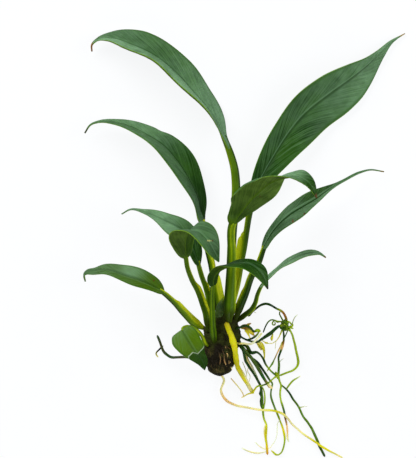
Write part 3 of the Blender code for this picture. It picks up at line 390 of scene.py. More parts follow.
ROOTLETS = [
    Root("strand_over_flap",
         [(236.5, 328.6, 10.2), (241, 327, 10.6), (246, 325.8, 10.8), (250, 327.4, 10.7),
          (252.6, 330.4, 10.3), (255.5, 332.3, 10)],
         (0.3, 0.36, 0.36, 0.28), "dark"),
    Root("flap_tip", [(246.5, 325.8, 9.9), (249.5, 323.9, 10), (251.4, 323.2, 10)],
         (0.5, 0.45, 0.15), "brown", ["yellow", "brown"], 0.4),
    Root("flap_tatter", [(246, 330.5, 9.4), (248, 333.5, 9.2), (249.5, 336.6, 9), (250.5, 340, 8.6)],
         (0.5, 0.4, 0.25, 0.15), "yellow", ["yellow", "lemon", "cream"], 0.4, 20.0),
    Root("side_strand", [(247.5, 339.8, 8.6), (252, 338.4, 9), (256, 335.8, 9.3), (259.3, 331.6, 9.6)],
         (0.26, 0.32, 0.26), "dark", ["dark", "dark", "lime"]),
    Root("side_strand_bud", [(255.5, 331, 9.8), (258, 330.2, 10), (260.8, 331.6, 10)],
         (0.25, 0.5, 0.3), "green", ["lime"]),
    Root("yellow_fold", [(257.5, 343, 3.8), (260, 346.5, 3.6), (261.5, 350.5, 3)],
         (0.3, 0.7, 0.3), "yellow", ["lemon", "yellow", "cream"], 0.35, -30.0),
    Root("curly",
         [(263.3, 341.2, 9.2), (267, 343, 8.8), (271.5, 343.4, 8.6), (275.8, 341.2, 8.8), (279, 337, 9.3),
          (280.6, 333.6, 9.8), (282.4, 329.6, 10.2)],
         (0.14, 0.14, 0.15, 0.16, 0.28), "cream", ["yellow", "cream", "cream", "yellow", "lime"]),
    Root("curly_bud", [(266, 342.8, 8.9), (267.2, 343.1, 8.8), (268.3, 343.3, 8.8)],
         (0.2, 0.3, 0.2), "yellow", ["yellow"]),
    Root("drop_bud", [(272.7, 334.6, 10.2), (272.2, 336.6, 9.6), (271.7, 338.8, 9.2), (271.9, 341, 8.9)],
         (0.12, 0.28, 0.4, 0.15), "yellow", ["lime", "yellow", "lemon"]),
    Root("faint_strand", [(276, 341.2, 8.8), (275.6, 345, 7.8), (275, 350, 6.8)],
         (0.1, 0.1), "cream", ["cream", "pale"]),
    Root("ring_bud",
         [(275.2, 320.6, 9.6), (273.4, 321.4, 9.8), (272.3, 323, 9.9), (273, 324.9, 9.9),
          (274.8, 324.7, 9.8), (275.2, 323, 9.7), (274.2, 322, 9.7)],
         (0.16, 0.24, 0.2), "green", ["green", "lime"]),
    Root("knot_link", [(275.6, 321, 9.8), (279, 321.6, 10.4), (282.5, 321.6, 11)],
         (0.18, 0.24, 0.24), "green", ["lime"]),
    Root("knot_strand", [(287.6, 331, 10.6), (286, 334.5, 9.6), (284, 338.5, 8.2)],
         (0.2, 0.16), "green", ["green", "dark"]),
    Root("knot_arm", [(287.5, 321, 11.9), (289.8, 322.4, 12), (291.8, 325, 12.1)],
         (0.2, 0.22, 0.3), "green", ["lime"]),
    Root("knot_arm_low", [(288, 326.6, 11.6), (290.2, 327.2, 12), (292.4, 326, 12.2), (292.8, 323.4, 12.3)],
         (0.3, 0.34, 0.34, 0.2), "green", ["lime"]),
    Root("knot_arm_end", [(290.2, 327.2, 12), (292.2, 328.3, 12.1), (293.6, 328.6, 12.1)],
         (0.28, 0.3, 0.16), "green", ["lime"]),
    Root("loop_through_knot",
         [(279.5, 326, 11.4), (281.5, 328.6, 11.6), (284.5, 330, 11.6), (288, 329.6, 11.4),
          (290.5, 331.4, 10.6)],
         (0.22, 0.3, 0.3, 0.28), "green", ["dark", "moss", "lime"]),
    Root("loop_over_knot", [(282, 323, 12), (284.5, 321.4, 12.4), (287, 323.2, 12.6), (287.6, 326.4, 12.4)],
         (0.2, 0.28, 0.24), "green", ["moss", "green"]),
    Root("behind_front",
         [(243.5, 350, 4.6), (247.5, 359.5, 4), (252, 367.5, 3.2), (256, 375.5, 2.3), (260, 385, 1.6)],
         (0.42, 0.4, 0.36, 0.3), "cream", ["yellow", "cream", "pale", "cream"]),
    Root("node_branch", [(276.5, 375.8, 0.9), (274, 378, 0.8), (271, 380.4, 0.8)],
         (0.28, 0.2), "green", ["lime"]),
    Root("node", [(276, 373, 0.9), (277.6, 376, 0.9), (278.4, 379.5, 0.8)],
         (0.3, 0.5, 0.32), "green", ["lime"]),
    Root("node_hairs", [(274, 362, 2), (272.6, 364.6, 3.4), (271, 365.5, 4.6)],
         (0.1, 0.12), "green", ["pale", "green"]),
    Root("hair_kinked", [(279, 363, 1), (281.2, 360.2, 1.4), (283.8, 358.4, 1.6)],
         (0.12, 0.08), "green", ["green", "pale"]),
    Root("hair_narrow", [(253, 310.6, 7.4), (254.3, 312, 7.2), (256.5, 313, 7)],
         (0.12, 0.08), "green", ["green", "pale"]),
    Root("tan_rootlet",
         [(231.5, 379, 3.4), (234.5, 382.5, 2.6), (238, 386.5, 1.8), (241, 390.5, 1.2), (243, 394, 0.9),
          (244, 397.5, 0.7)],
         (0.16, 0.2, 0.16), "cream", ["tan", "cream", "tan"]),
    Root("upper_loop", [(256, 443, 0.7), (259, 445.8, 0.7), (263, 448.3, 0.7), (267, 449.5, 0.7)],
         (0.12, 0.2, 0.14), "cream", ["pale", "cream"]),
    Root("faint_loop",
         [(279.6, 420.4, 0.9), (277.4, 424, 0.8), (277.2, 429, 0.7), (276.8, 435, 0.7), (275.4, 440, 0.7),
          (272.8, 444.4, 0.7), (269.6, 448.3, 0.7), (267.2, 450, 0.7)],
         (0.1, 0.12, 0.1, 0.14), "cream", ["pale", "pale", "pale", "cream"]),
    Root("beside_front",
         [(260.4, 385.5, 2.6), (263, 388.4, 2), (264.6, 394, 1.4), (264.7, 402, 1), (263.2, 410.5, 0.9)],
         (0.2, 0.22, 0.26, 0.2), "green", ["moss", "lime", "lime", "green"]),
    Root("front_knob", [(260.6, 391.5, 1.7), (260.7, 394.2, 1.5), (261.3, 396.5, 1.3)],
         (0.3, 0.5, 0.25), "dark"),
    Root("front_side", [(261.6, 396, 1.2), (260.8, 401, 1), (261.2, 406, 0.9), (262.6, 409.5, 0.8)],
         (0.26, 0.3, 0.2), "dark", ["dark", "moss"]),
    Root("pale_side", [(265.4, 424.5, 0.8), (264.4, 429, 0.7), (264.6, 436, 0.7), (265.8, 441, 0.7)],
         (0.12, 0.18, 0.14), "cream", ["cream", "yellow"]),
    Root("pale_end", [(267.5, 383, 2.8), (269.7, 386.2, 2.5), (272.6, 388.6, 2.1)],
         (0.42, 0.5, 0.3), "yellow", ["lemon", "cream", "tan"]),
    Root("pale_fray", [(287.2, 434, 0.7), (287.6, 438.5, 0.7), (288.8, 442.5, 0.6)],
         (0.16, 0.3, 0.1), "cream", ["tan", "cream", "pale"]),
    Root("front_second",
         [(238.5, 366, 7.2), (242, 371.5, 5.4), (246, 379, 3.8), (250, 386.5, 2.4), (252.6, 391.6, 1.6)],
         (0.24, 0.34, 0.42, 0.36, 0.3), "cream", ["yellow", "cream", "cream", "yellow"]),
    Root("bend_knob", [(273.4, 452.4, 0.7), (275.6, 454.4, 0.7), (277.6, 455.1, 0.7)],
         (0.24, 0.34, 0.26), "yellow", ["lemon", "lime"]),
    Root("tip_knob", [(250.5, 390, 1.9), (252.4, 392.4, 1.6), (254.2, 393, 1.4)],
         (0.3, 0.46, 0.3), "yellow", ["lemon"]),
    Root("fringe_left", [(232.4, 349, 9.6), (233, 356, 8.6), (232.6, 362, 7.6), (234, 367, 6.8)],
         (0.16, 0.22, 0.16), "cream", ["pale", "cream"]),
    Root("fringe_middle", [(243, 363, 5), (245.4, 369, 4.2), (246.6, 375, 3.2), (245.4, 381, 2.2)],
         (0.12, 0.14, 0.1), "cream", ["pale"]),
    Root("fringe_right", [(249, 366, 3.4), (247.6, 371, 2.6), (250, 376, 1.8), (249, 382, 1)],
         (0.1, 0.12, 0.08), "cream", ["cream", "pale"]),
    Root("long_right_hair", [(298.6, 406.8, 0.9), (300.6, 407.4, 1), (303.4, 406.6, 1), (308, 406.2, 0.9)],
         (0.2, 0.14, 0.06), "green", ["green", "lime", "pale", "pale"]),
    Root("fibre_first", [(222, 349, 11), (224, 355, 10.8), (224.5, 361, 10.2), (227, 367, 9)],
         (0.14, 0.2, 0.12), "brown", ["bark", "scar", "tan"]),
    Root("fibre_second", [(225.5, 347, 10.7), (227, 353, 10.3), (228.6, 360, 9.7), (229, 367, 8.4)],
         (0.14, 0.22, 0.12), "brown", ["scar", "tan", "scar", "tan"]),
    Root("fibre_third", [(229, 351, 9.8), (230.4, 357, 9.2), (230, 363, 8.8), (232, 370, 7.4)],
         (0.12, 0.18, 0.1), "brown", ["scar", "tan", "cream"]),
    Root("fibre_fourth", [(219, 353, 11.2), (220.5, 359, 10.9), (219.5, 365, 10.2)],
         (0.12, 0.18, 0.1), "brown", ["bark", "scar", "scar"]),
    Root("fibre_low", [(226, 343, 10.9), (227.5, 347, 10.6), (231, 350, 9.6), (233, 354, 8.8)],
         (0.14, 0.18, 0.1), "brown", ["bark", "scar", "tan"]),
    Root("collar_bud",
         [(219, 323, 8.4), (219.3, 315, 9.2), (220.3, 307.5, 9.9), (222.4, 301, 10.2), (224.4, 296.5, 10)],
         (1.3, 1.5, 1.45, 1.0, 0.25), "green", ["dark", "collar", "collar", "collar", "lime"]),
]

RHIZOME_ROUTE = [(224, 311, 6.4), (224.3, 316, 6.8), (224.6, 322, 7), (224.8, 329, 6.9), (224.6, 337, 6.5),
                 (223, 346, 6), (221, 356, 5.6), (220, 366, 5), (220, 372, 4.6), (220, 375.5, 4.4)]
RHIZOME_RADII = [1.4, 3.3, 4.1, 4.5, 4.8, 4.8, 4.9, 4.2, 3.0, 0.8]

# The small buds of the knot: across, down, height and radius
BUDS = [(282.5, 322.5, 11.2, 0.55), (285, 321.3, 11.6, 0.6), (287.3, 323, 11.5, 0.6),
        (283.8, 325.3, 11.3, 0.8), (286.6, 326, 11.6, 0.8), (281, 326, 11.3, 0.5),
        (285.2, 328.6, 11.1, 0.65), (288.6, 328, 11.2, 0.6), (283.2, 328.4, 10.9, 0.5),
        (290.6, 326.6, 11.9, 0.42), (284.6, 323.4, 12.1, 0.5)]


def colour_property(name, description, colour):
    """A colour that a user may change."""
    return bpy.props.FloatVectorProperty(name=name, description=description, default=colour, size=3,
                                         min=0.0, max=1.0, subtype="COLOR")


def length_property(name, description, metres):
    """A length that a user may change."""
    return bpy.props.FloatProperty(name=name, description=description, default=metres, min=0.0,
                                   precision=5, subtype="DISTANCE", unit="LENGTH")


def brightness_property(name, description, value):
    """A brightness that a user may change."""
    return bpy.props.FloatProperty(name=name, description=description, default=value, min=0.0)


class AnubiasLeafSettings(bpy.types.PropertyGroup):
    """Sizes and colours of the leaf blades."""
    thickness: length_property("Thickness", "How thick a blade is between its veins", 0.00042)
    groove: length_property("Groove", "How deep the midrib lies in the upper side", 0.0002)
    vein_relief: length_property("Vein relief", "How far the side veins stand out", 0.00004)
    vein_spacing: length_property("Vein spacing", "How far apart the side veins leave the midrib", 0.0030)
    deep: colour_property("Deep green", "Colour of the upper side beside the midrib", (0.006, 0.042, 0.0005))
    fresh: colour_property("Fresh green", "Colour of the upper side between the veins",
                           (0.028, 0.104, 0.003))
    # The painted sheen: a blue-grey reflection painted into the upper side's colour
    bloom: colour_property("Bloom", "Blue-grey bloom on the upper side", (0.215, 0.405, 0.215))
    young: colour_property("Young green", "Colour of a young blade", (0.11, 0.22, 0.003))
    under: colour_property("Underside", "Colour of the underside", (0.058, 0.118, 0.011))
    under_light: colour_property("Thin underside", "Colour of the underside where light comes through",
                                 (0.13, 0.235, 0.032))
    margin: colour_property("Margin", "Colour of the thin margin", (0.20, 0.36, 0.025))
    brown: colour_property("Brown", "Colour of the dead spots", (0.10, 0.038, 0.012))
    pale: colour_property("Pale tissue", "Colour of thin, bleached tissue", (0.55, 0.55, 0.20))


class AnubiasStemSettings(bpy.types.PropertyGroup):
    """Sizes and colours of the leaf stems."""
    bright: colour_property("Bright side", "Colour of the side that the light comes through",
                            (0.30, 0.44, 0.002))
    middle: colour_property("Middle", "Colour between the stripes", (0.080, 0.17, 0.001))
    shaded: colour_property("Shaded side", "Colour of the dark stripes", (0.013, 0.042, 0.001))
    sheath: colour_property("Sheath", "Colour of the thin sheath at the foot", (0.62, 0.68, 0.012))
    # Painted shade where the stems crowd together at the crown
    crown: colour_property("Crown", "Colour of the stems where they grow together", (0.026, 0.042, 0.001))
    sheath_thickness: length_property("Sheath thickness", "How thick the thin sheath is", 0.0003)
    overlap: length_property("Overlap", "How far the stem runs on into the blade and the rhizome", 0.0010)


class AnubiasRootSettings(bpy.types.PropertyGroup):
    """Sizes and colours of the rhizome and the roots."""
    bark: colour_property("Rhizome", "Main colour of the rhizome", (0.011, 0.0075, 0.002))
    skin: colour_property("Rhizome green", "Living green patches of the rhizome", (0.034, 0.044, 0.003))
    scar: colour_property("Rhizome scars", "Pale scars where old leaves grew", (0.20, 0.12, 0.045))
    lemon: colour_property("Lemon yellow", "Colour of the thick front root", (0.68, 0.64, 0.003))
    yellow: colour_property("Yellow", "Colour of the yellow roots", (0.82, 0.76, 0.03))
    cream: colour_property("Cream", "Colour of the pale roots", (0.96, 0.88, 0.36))
    pale: colour_property("Pale", "Colour of the thinnest tips", (0.88, 0.95, 0.60))
    lime: colour_property("Yellow-green", "Colour of young roots and buds", (0.36, 0.52, 0.002))
    green: colour_property("Green", "Colour of the green roots", (0.10, 0.23, 0.006))
    moss: colour_property("Moss green", "Colour of old green roots", (0.055, 0.12, 0.003))
    dark: colour_property("Dark green", "Colour of the dark roots", (0.010, 0.055, 0.002))
    olive: colour_property("Olive", "Colour of the root at the left", (0.045, 0.050, 0.012))
    tan: colour_property("Tan", "Colour of bruised roots", (0.85, 0.55, 0.20))
    brown: colour_property("Brown", "Colour of dead tissue", (0.32, 0.14, 0.010))
    ochre: colour_property("Ochre", "Colour of a yellow root beside the rhizome", (0.34, 0.27, 0.008))
    orange: colour_property("Orange", "Colour of a dying root tip", (0.62, 0.24, 0.006))
    collar: colour_property("Collar", "Colour of the bud between the stems", (0.07, 0.13, 0.025))
    root_overlap: length_property("Root overlap", "How far a root starts inside what it grows from", 0.0005)


class AnubiasStageSettings(bpy.types.PropertyGroup):
    """The table, the light and the camera."""
    table: colour_property("Table", "Colour of the table", (0.12, 0.12, 0.12))
    table_glow: brightness_property("Table glow", "How brightly the white table shines", 0.9)
    table_radius: length_property("Table radius", "How far the table reaches", 1.6)
    world_strength: brightness_property("Room light", "Strength of the even white light", 0.12)
    key_power: brightness_property("Key light", "Power of the large soft light in watts", 6.3)
    side_power: brightness_property("Side light", "Power of the soft side light in watts", 3.4)
    fill_power: brightness_property("Fill light", "Power of the soft near light in watts", 2.4)


class AnubiasSettings(bpy.types.PropertyGroup):
    """All settings of the anubias."""
    leaf: bpy.props.PointerProperty(type=AnubiasLeafSettings, name="Leaves", description="Leaf settings")
    stem: bpy.props.PointerProperty(type=AnubiasStemSettings, name="Stems", description="Stem settings")
    root: bpy.props.PointerProperty(type=AnubiasRootSettings, name="Roots", description="Root settings")
    stage: bpy.props.PointerProperty(type=AnubiasStageSettings, name="Stage", description="Stage settings")


def seen_at(across, down, height):
    """The place in metres of a reading: across, down, and the height in millimetres."""
    scale = PICTURE_MM * (EYE_HEIGHT - height) / (EYE_HEIGHT - SCALED_HEIGHT)
    right = (across - PICTURE_MIDDLE[0]) * scale
    up = (PICTURE_MIDDLE[1] - down) * scale
    middle_right = (PLANT_MIDDLE[0] - PICTURE_MIDDLE[0]) * PICTURE_MM
    middle_up = (PICTURE_MIDDLE[1] - PLANT_MIDDLE[1]) * PICTURE_MM
    return np.array((right - middle_right, up - middle_up, height)) * MM


def smooth(values, knots, spots):
    """The values of a smooth line through the given ones, at each spot."""
    values = np.array(values, dtype=float)
    slopes = np.gradient(values, knots, axis=0)
    spots = np.asarray(spots, dtype=float)
    first = np.clip(np.searchsorted(knots, spots, side="right") - 1, 0, len(knots) - 2)
    span = knots[first + 1] - knots[first]
    part = (spots - knots[first]) / span
    if values.ndim == 2:
        part, span = part[:, None], span[:, None]
    start = (2 * part ** 3 - 3 * part ** 2 + 1) * values[first]
    start += (part ** 3 - 2 * part ** 2 + part) * span * slopes[first]
    end = (3 * part ** 2 - 2 * part ** 3) * values[first + 1]
    end += (part ** 3 - part ** 2) * span * slopes[first + 1]
    return start + end


def evenly(values, spots):
    """The smooth line through values that are evenly spread from 0 to 1, at each spot."""
    return smooth(values, np.linspace(0.0, 1.0, len(values)), spots)


def step_up(low, high, values):
    """0 at low, 1 at high and beyond them, and a smooth rise between."""
    part = np.clip((np.asarray(values, dtype=float) - low) / (high - low), 0.0, 1.0)
    return part * part * (3.0 - 2.0 * part)


def hump(distance, width):
    """A round hump, 1 high, that falls off within the width."""
    return np.exp(-(np.asarray(distance) / width) ** 2)


def turned_from(angle, centre):
    """How far each angle is from a centre, the short way round."""
    return np.angle(np.exp(1j * (angle - centre)))


def distances(places):
    """How far along a line each of its places is."""
    return np.concatenate([[0.0], np.cumsum(np.linalg.norm(np.diff(places, axis=0), axis=1))])


def unit(vectors):
    """The vectors at a length of 1."""
    return vectors / np.linalg.norm(vectors, axis=-1, keepdims=True)


def row_parts(lengths):
    """How far along a piece each row of its grid is, from 0 to 1. The first and last rows close its ends."""
    return np.concatenate([[0.0], np.linspace(0.0, 1.0, lengths - 1), [1.0]])


def closed_at_ends(radius, rows, lengths):
    """The radius or offset of each point, with none in the first and the last row."""
    return np.where((rows == 0) | (rows == lengths), 0.0, radius)


class Route:
    """A smooth line through readings, asked for places by the distance along it in metres."""

    def __init__(self, readings):
        places = np.array([seen_at(*reading) for reading in readings])
        knots = distances(places)
        self.line = smooth(places, knots, np.linspace(0.0, knots[-1], ROUTE_SAMPLES))
        self.along = distances(self.line)
        self.length = self.along[-1]
        self.marks = knots / knots[-1] * self.length
        self.ways = unit(np.gradient(self.line, self.along, axis=0))

    def places(self, spots):
        """The places that far along the line, and on in its direction past its ends."""
        spots = np.asarray(spots, dtype=float)
        found = np.stack([np.interp(spots, self.along, self.line[:, axis]) for axis in range(3)], axis=1)
        found += np.minimum(spots, 0.0)[:, None] * self.ways[0]
        return found + np.maximum(spots - self.length, 0.0)[:, None] * self.ways[-1]

    def frames(self, spots):
        """At each spot the way the line goes, and the right and upper side of a strip with no twist."""
        ways = np.stack([np.interp(spots, self.along, self.ways[:, axis]) for axis in range(3)], axis=1)
        ways = unit(ways)
        way = Vector(ways[0])
        right = way.cross(Vector((0.0, 0.0, 1.0))).normalized()
        rights = []
        for following in ways:
            following = Vector(following)
            right = way.rotation_difference(following) @ right
            way = following
            rights.append(right)
        rights = np.array(rights)
        return ways, rights, np.cross(rights, ways)


def deselect_all():
    """Nothing is selected, in object mode."""
    if bpy.context.mode != "OBJECT":
        bpy.ops.object.mode_set(mode="OBJECT")
    bpy.ops.object.select_all(action="DESELECT")


def make_active(piece):
    """Only this piece is selected."""
    deselect_all()
    piece.select_set(True)
    bpy.context.view_layer.objects.active = piece


def in_edit_mode(piece, *steps):
    """Runs the steps on all of the piece's mesh in edit mode."""
    make_active(piece)
    bpy.ops.object.mode_set(mode="EDIT")
    bpy.ops.mesh.select_all(action="SELECT")
    for step in steps:
        step()
    bpy.ops.object.mode_set(mode="OBJECT")


def merge_and_face_out():
    """Closes seams and poles and turns all faces outwards."""
    bpy.ops.mesh.remove_doubles(threshold=MERGE)
    bpy.ops.mesh.normals_make_consistent(inside=False)


def rolled(name, lengths, around, shape):
    """A closed piece rolled from a grid: U runs along it and V round it. shape gives each point its place
    and its marks, which materials read as attributes."""
    deselect_all()
    bpy.ops.mesh.primitive_grid_add(x_subdivisions=lengths, y_subdivisions=around, size=1.0)
    piece = bpy.context.active_object
    piece.name = piece.data.name = name
    flat = np.empty(len(piece.data.vertices) * 3)
    piece.data.vertices.foreach_get("co", flat)
    flat = flat.reshape(-1, 3) + 0.5
    rows = np.rint(flat[:, 0] * lengths).astype(int)
    turn = np.rint(flat[:, 1] * around) / around
    places, marks = shape(rows, turn)
    piece.data.vertices.foreach_set("co", places.ravel())
    for mark, values in marks.items():
        kind = "FLOAT_VECTOR" if values.ndim == 2 else "FLOAT"
        attribute = piece.data.attributes.new(mark, kind, "POINT")
        attribute.data.foreach_set("vector" if values.ndim == 2 else "value", values.ravel())
    in_edit_mode(piece, merge_and_face_out)
    bpy.ops.object.shade_smooth()
    return piece


def dressed(piece, surface, slot, *nodes):
    """The piece gets its material, rides with the plant and stands for the given CAD nodes."""
    piece.data.materials.clear()
    piece.data.materials.append(surface)
    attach(piece, "root")
    if nodes:
        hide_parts(*nodes)
    return piece


class Surface:
    """A material whose nodes are added one at a time. Inputs may be numbers, colours or sockets."""

    def __init__(self, name, roughness=0.4, **constants):
        self.material = bpy.data.materials.new(name)
        self.material.use_nodes = True
        self.tree = self.material.node_tree
        self.shader = self.tree.nodes["Principled BSDF"]
        self.shader.inputs["Roughness"].default_value = roughness
        for socket, value in constants.items():
            self.shader.inputs[socket.replace("_", " ")].default_value = value

    def give(self, socket, value):
        """Sets an input, or links it where the value is a socket."""
        if isinstance(value, bpy.types.NodeSocket):
            self.tree.links.new(value, socket)
        elif isinstance(value, (int, float)):
            socket.default_value = value
        else:
            size = len(socket.default_value)
            socket.default_value = (*value, 1.0)[:size]

    def attribute(self, name):
        """The socket of a mark on the piece: its vector and its value."""
        node = self.tree.nodes.new("ShaderNodeAttribute")
        node.attribute_name = name
        return node.outputs["Vector"], node.outputs["Fac"]

    def parts(self, vector):
        """The three parts of a vector."""
        node = self.tree.nodes.new("ShaderNodeSeparateXYZ")
        self.give(node.inputs[0], vector)
        return node.outputs

    def unrolled(self):
        """How far along the piece a place is, and how far round it, from the UV map."""
        return self.parts(self.tree.nodes.new("ShaderNodeUVMap").outputs[0])[:2]

    def vector(self, x, y, z=0.0):
        """A vector of three values."""
        node = self.tree.nodes.new("ShaderNodeCombineXYZ")
        for socket, value in zip(node.inputs, (x, y, z)):
            self.give(socket, value)
        return node.outputs[0]

    def objects_place(self):
        """The place on the plant, in metres."""
        return self.tree.nodes.new("ShaderNodeTexCoord").outputs["Object"]

    def sum(self, operation, first, second=0.0):
        """The result of a sum with one or two values, such as FRACT or MAXIMUM."""
        node = self.tree.nodes.new("ShaderNodeMath")
        node.operation = operation
        self.give(node.inputs[0], first)
        self.give(node.inputs[1], second)
        return node.outputs[0]

    def times(self, first, second):
        """The product of two values."""
        return self.sum("MULTIPLY", first, second)

    def plus(self, first, second):
        """The total of two values."""
        return self.sum("ADD", first, second)

    def minus(self, first, second):
        """The first value less the second."""
        return self.sum("SUBTRACT", first, second)

    def absolute(self, value):
        """The value without its sign."""
        return self.sum("ABSOLUTE", value)

    def span(self, value, low, high, to_low=0.0, to_high=1.0):
        """The value's place between low and high, as a smooth rise."""
        node = self.tree.nodes.new("ShaderNodeMapRange")
        node.interpolation_type = "SMOOTHSTEP"
        for socket, given in zip(("Value", "From Min", "From Max", "To Min", "To Max"),
                                 (value, low, high, to_low, to_high)):
            self.give(node.inputs[socket], given)
        return node.outputs["Result"]

    def mix(self, share, first, second):
        """The first colour, turning to the second as the share rises."""
        node = self.tree.nodes.new("ShaderNodeMix")
        node.data_type = "RGBA"
        self.give(node.inputs["Factor"], share)
        colours = [socket for socket in node.inputs if socket.type == "RGBA"]
        self.give(colours[0], first)
        self.give(colours[1], second)
        return next(socket for socket in node.outputs if socket.type == "RGBA")

    def noise(self, place, scale, detail=3.0, roughness=0.5):
        """Cloudy variation, about 0.5."""
        node = self.tree.nodes.new("ShaderNodeTexNoise")
        self.give(node.inputs["Vector"], place)
        self.give(node.inputs["Scale"], scale)
        self.give(node.inputs["Detail"], detail)
        self.give(node.inputs["Roughness"], roughness)
        return node.outputs["Fac"]

    def far_from(self, place, centre):
        """How far a place is from a centre."""
        node = self.tree.nodes.new("ShaderNodeVectorMath")
        node.operation = "DISTANCE"
        self.give(node.inputs[0], place)
        self.give(node.inputs[1], centre)
        return node.outputs["Value"]

    def bump(self, height, distance, strength=1.0):
        """Fine relief, whose height of 1 stands that many metres out."""
        node = self.tree.nodes.new("ShaderNodeBump")
        self.give(node.inputs["Height"], height)
        node.inputs["Distance"].default_value = distance
        node.inputs["Strength"].default_value = strength
        self.give(self.shader.inputs["Normal"], node.outputs[0])

    def colour(self, value):
        """Sets the colour."""
        self.give(self.shader.inputs["Base Color"], value)

    def roughness(self, value):
        """Sets how matt it is."""
        self.give(self.shader.inputs["Roughness"], value)


class LeafSurface(Surface):
    """Waxy upper side, pale veins, painted blue-grey sheen, olive underside, painted shade, thin margin,
    dead tip.
    """

    def __init__(self, leaf, settings, length):
        super().__init__("leaf_surface_" + leaf.name, Specular_IOR_Level=0.11, Subsurface_Weight=0.05,
                         Subsurface_Scale=0.001)
        self.shader.inputs["Subsurface Radius"].default_value = (0.4, 1.0, 0.15)
        self.leaf = leaf
        self.settings = settings
        self.stem = bpy.context.scene.anubias.stem
        self.length = length
        blade, _ = self.attribute("blade")
        self.along, across, self.upper = self.parts(blade)
        _, self.vein = self.attribute("vein")
        place = self.objects_place()
        self.edge = self.absolute(across)
        self.beside = self.times(across, leaf.half_width)
        self.long_way = self.vector(self.times(self.along, length / MM), self.beside)
        self.cloud = self.noise(place, 260.0, 4.0)
        self.broad = self.noise(place, 110.0, 2.0)
        self.fine = self.noise(place, 1500.0, 3.0, 0.6)
        self.wander = self.times(self.minus(self.cloud, 0.5), 1.1)
        self.inside = self.times(self.span(self.edge, 0.96, 0.6), self.span(self.edge, 0.02, 0.2))
        clear = self.times(self.inside, self.span(self.broad, 0.3, 0.7, 0.35, 1.0))
        self.pale_vein = self.times(self.comb(0.0, 1.0, 0.34), clear)
        self.dark_vein = self.times(self.comb(0.2, 1.0, 0.24), clear)
        self.minor_vein = self.times(self.comb(0.0, 4.0, 0.2), self.inside)
        # Streaks along the side veins: painted light and shade, as on a gently rippled blade
        along_veins = self.vector(self.times(self.vein, 3.1), self.times(self.beside, 0.16), leaf.half_width)
        self.streak = self.minus(self.noise(along_veins, 1.0, 4.0, 0.65), 0.5)
        # The share of painted sheen on the upper side, and the share of painted shade on the underside
        _, self.bloom = self.attribute("bloom")
        _, self.dark = self.attribute("under")

    def comb(self, shift, times, low):
        """Lines along the side veins, shifted by a share of their spacing."""
        moved = self.plus(self.times(self.plus(self.vein, self.wander), times), shift)
        return self.span(self.absolute(self.minus(self.sum("FRACT", moved), 0.5)), low, 0.5)

    def line_beside(self, offset, outer, inner):
        """A line along the midrib, that many millimetres to its right."""
        return self.span(self.absolute(self.minus(self.beside, offset)), outer, inner)

    def with_painted_sheen(self, green):
        """The green under its painted sheen, a blue-grey reflection that is patchy and streaked along the
        veins.
        """
        bloom = self.times(self.bloom, self.span(self.cloud, 0.25, 0.75, 0.75, 1.2))
        bloom = self.plus(bloom, self.times(self.pale_vein, 0.11))
        bloom = self.minus(bloom, self.times(self.dark_vein, 0.08))
        bloom = self.plus(bloom, self.times(self.times(self.streak, self.inside), 0.75))
        bloom = self.minus(bloom, self.times(self.minor_vein, 0.05))
        return self.mix(bloom, green, self.settings.bloom)

    def upper_side(self):
        """The colour of the upper side: greens, the painted sheen, and the midrib's painted highlight and
        painted shade.
        """
        settings = self.settings
        lit = self.span(self.plus(self.broad, self.streak), 0.35, 0.7, 0.05, 0.85)
        green = self.mix(lit, settings.deep, settings.fresh)
        green = self.mix(self.times(self.span(self.along, 0.35, 0.0), 0.5), green, settings.deep)
        young = self.times(self.span(self.along, 1.0, 0.3, 0.25, 1.0), self.leaf.young)
        green = self.with_painted_sheen(self.mix(young, green, settings.young))
        green = self.mix(self.times(self.span(self.edge, 0.8, 0.93), 0.55), green, settings.fresh)
        # The midrib's painted highlight, in the sheen's colour, and its painted shade in the groove
        rib_highlight, rib_shade = self.leaf.rib
        green = self.mix(self.times(self.line_beside(-0.5, 0.5, 0.15), rib_highlight), green, settings.bloom)
        return self.mix(self.times(self.line_beside(0.12, 0.55, 0.12), rib_shade), green, settings.deep)

    def underside(self):
        """The underside's colour: olive, its painted shade, its darker veins, and the midrib's ridge with
        painted shade beside it.
        """
        settings = self.settings
        lit = self.span(self.plus(self.cloud, self.streak), 0.3, 0.7)
        olive = self.mix(lit, settings.under, settings.under_light)
        # Painted shade on the underside, strongest towards the foot
        darker = self.times(self.dark, self.span(self.cloud, 0.25, 0.75, 0.7, 1.0))
        olive = self.mix(darker, olive, settings.deep)
        olive = self.mix(self.times(self.comb(0.0, 1.0, 0.38), 0.5), olive, settings.deep)
        olive = self.mix(self.times(self.comb(0.0, 4.0, 0.25), 0.2), olive, settings.deep)
        olive = self.mix(self.times(self.line_beside(0.2, 0.35, 0.1), 0.6), olive, self.stem.middle)
        # Painted shade beside the midrib's ridge
        return self.mix(self.times(self.line_beside(-0.15, 0.25, 0.05), 0.7), olive, settings.deep)

    def with_margin_and_foot(self, colour):
        """The colour with its pale margin, and with the stem's green where the blade starts."""
        rim = self.leaf.rim
        margin = self.times(self.span(self.edge, 0.985 - 0.04 * rim, 0.985), min(0.5 + 0.4 * rim, 1.0))
        colour = self.mix(margin, colour, self.settings.margin)
        foot = self.times(self.span(self.along, 0.07, 0.0), self.span(self.upper, 0.9, 0.3))
        foot = self.times(foot, self.span(self.dark, 0.95, 0.7))
        return self.mix(foot, colour, self.stem.middle)

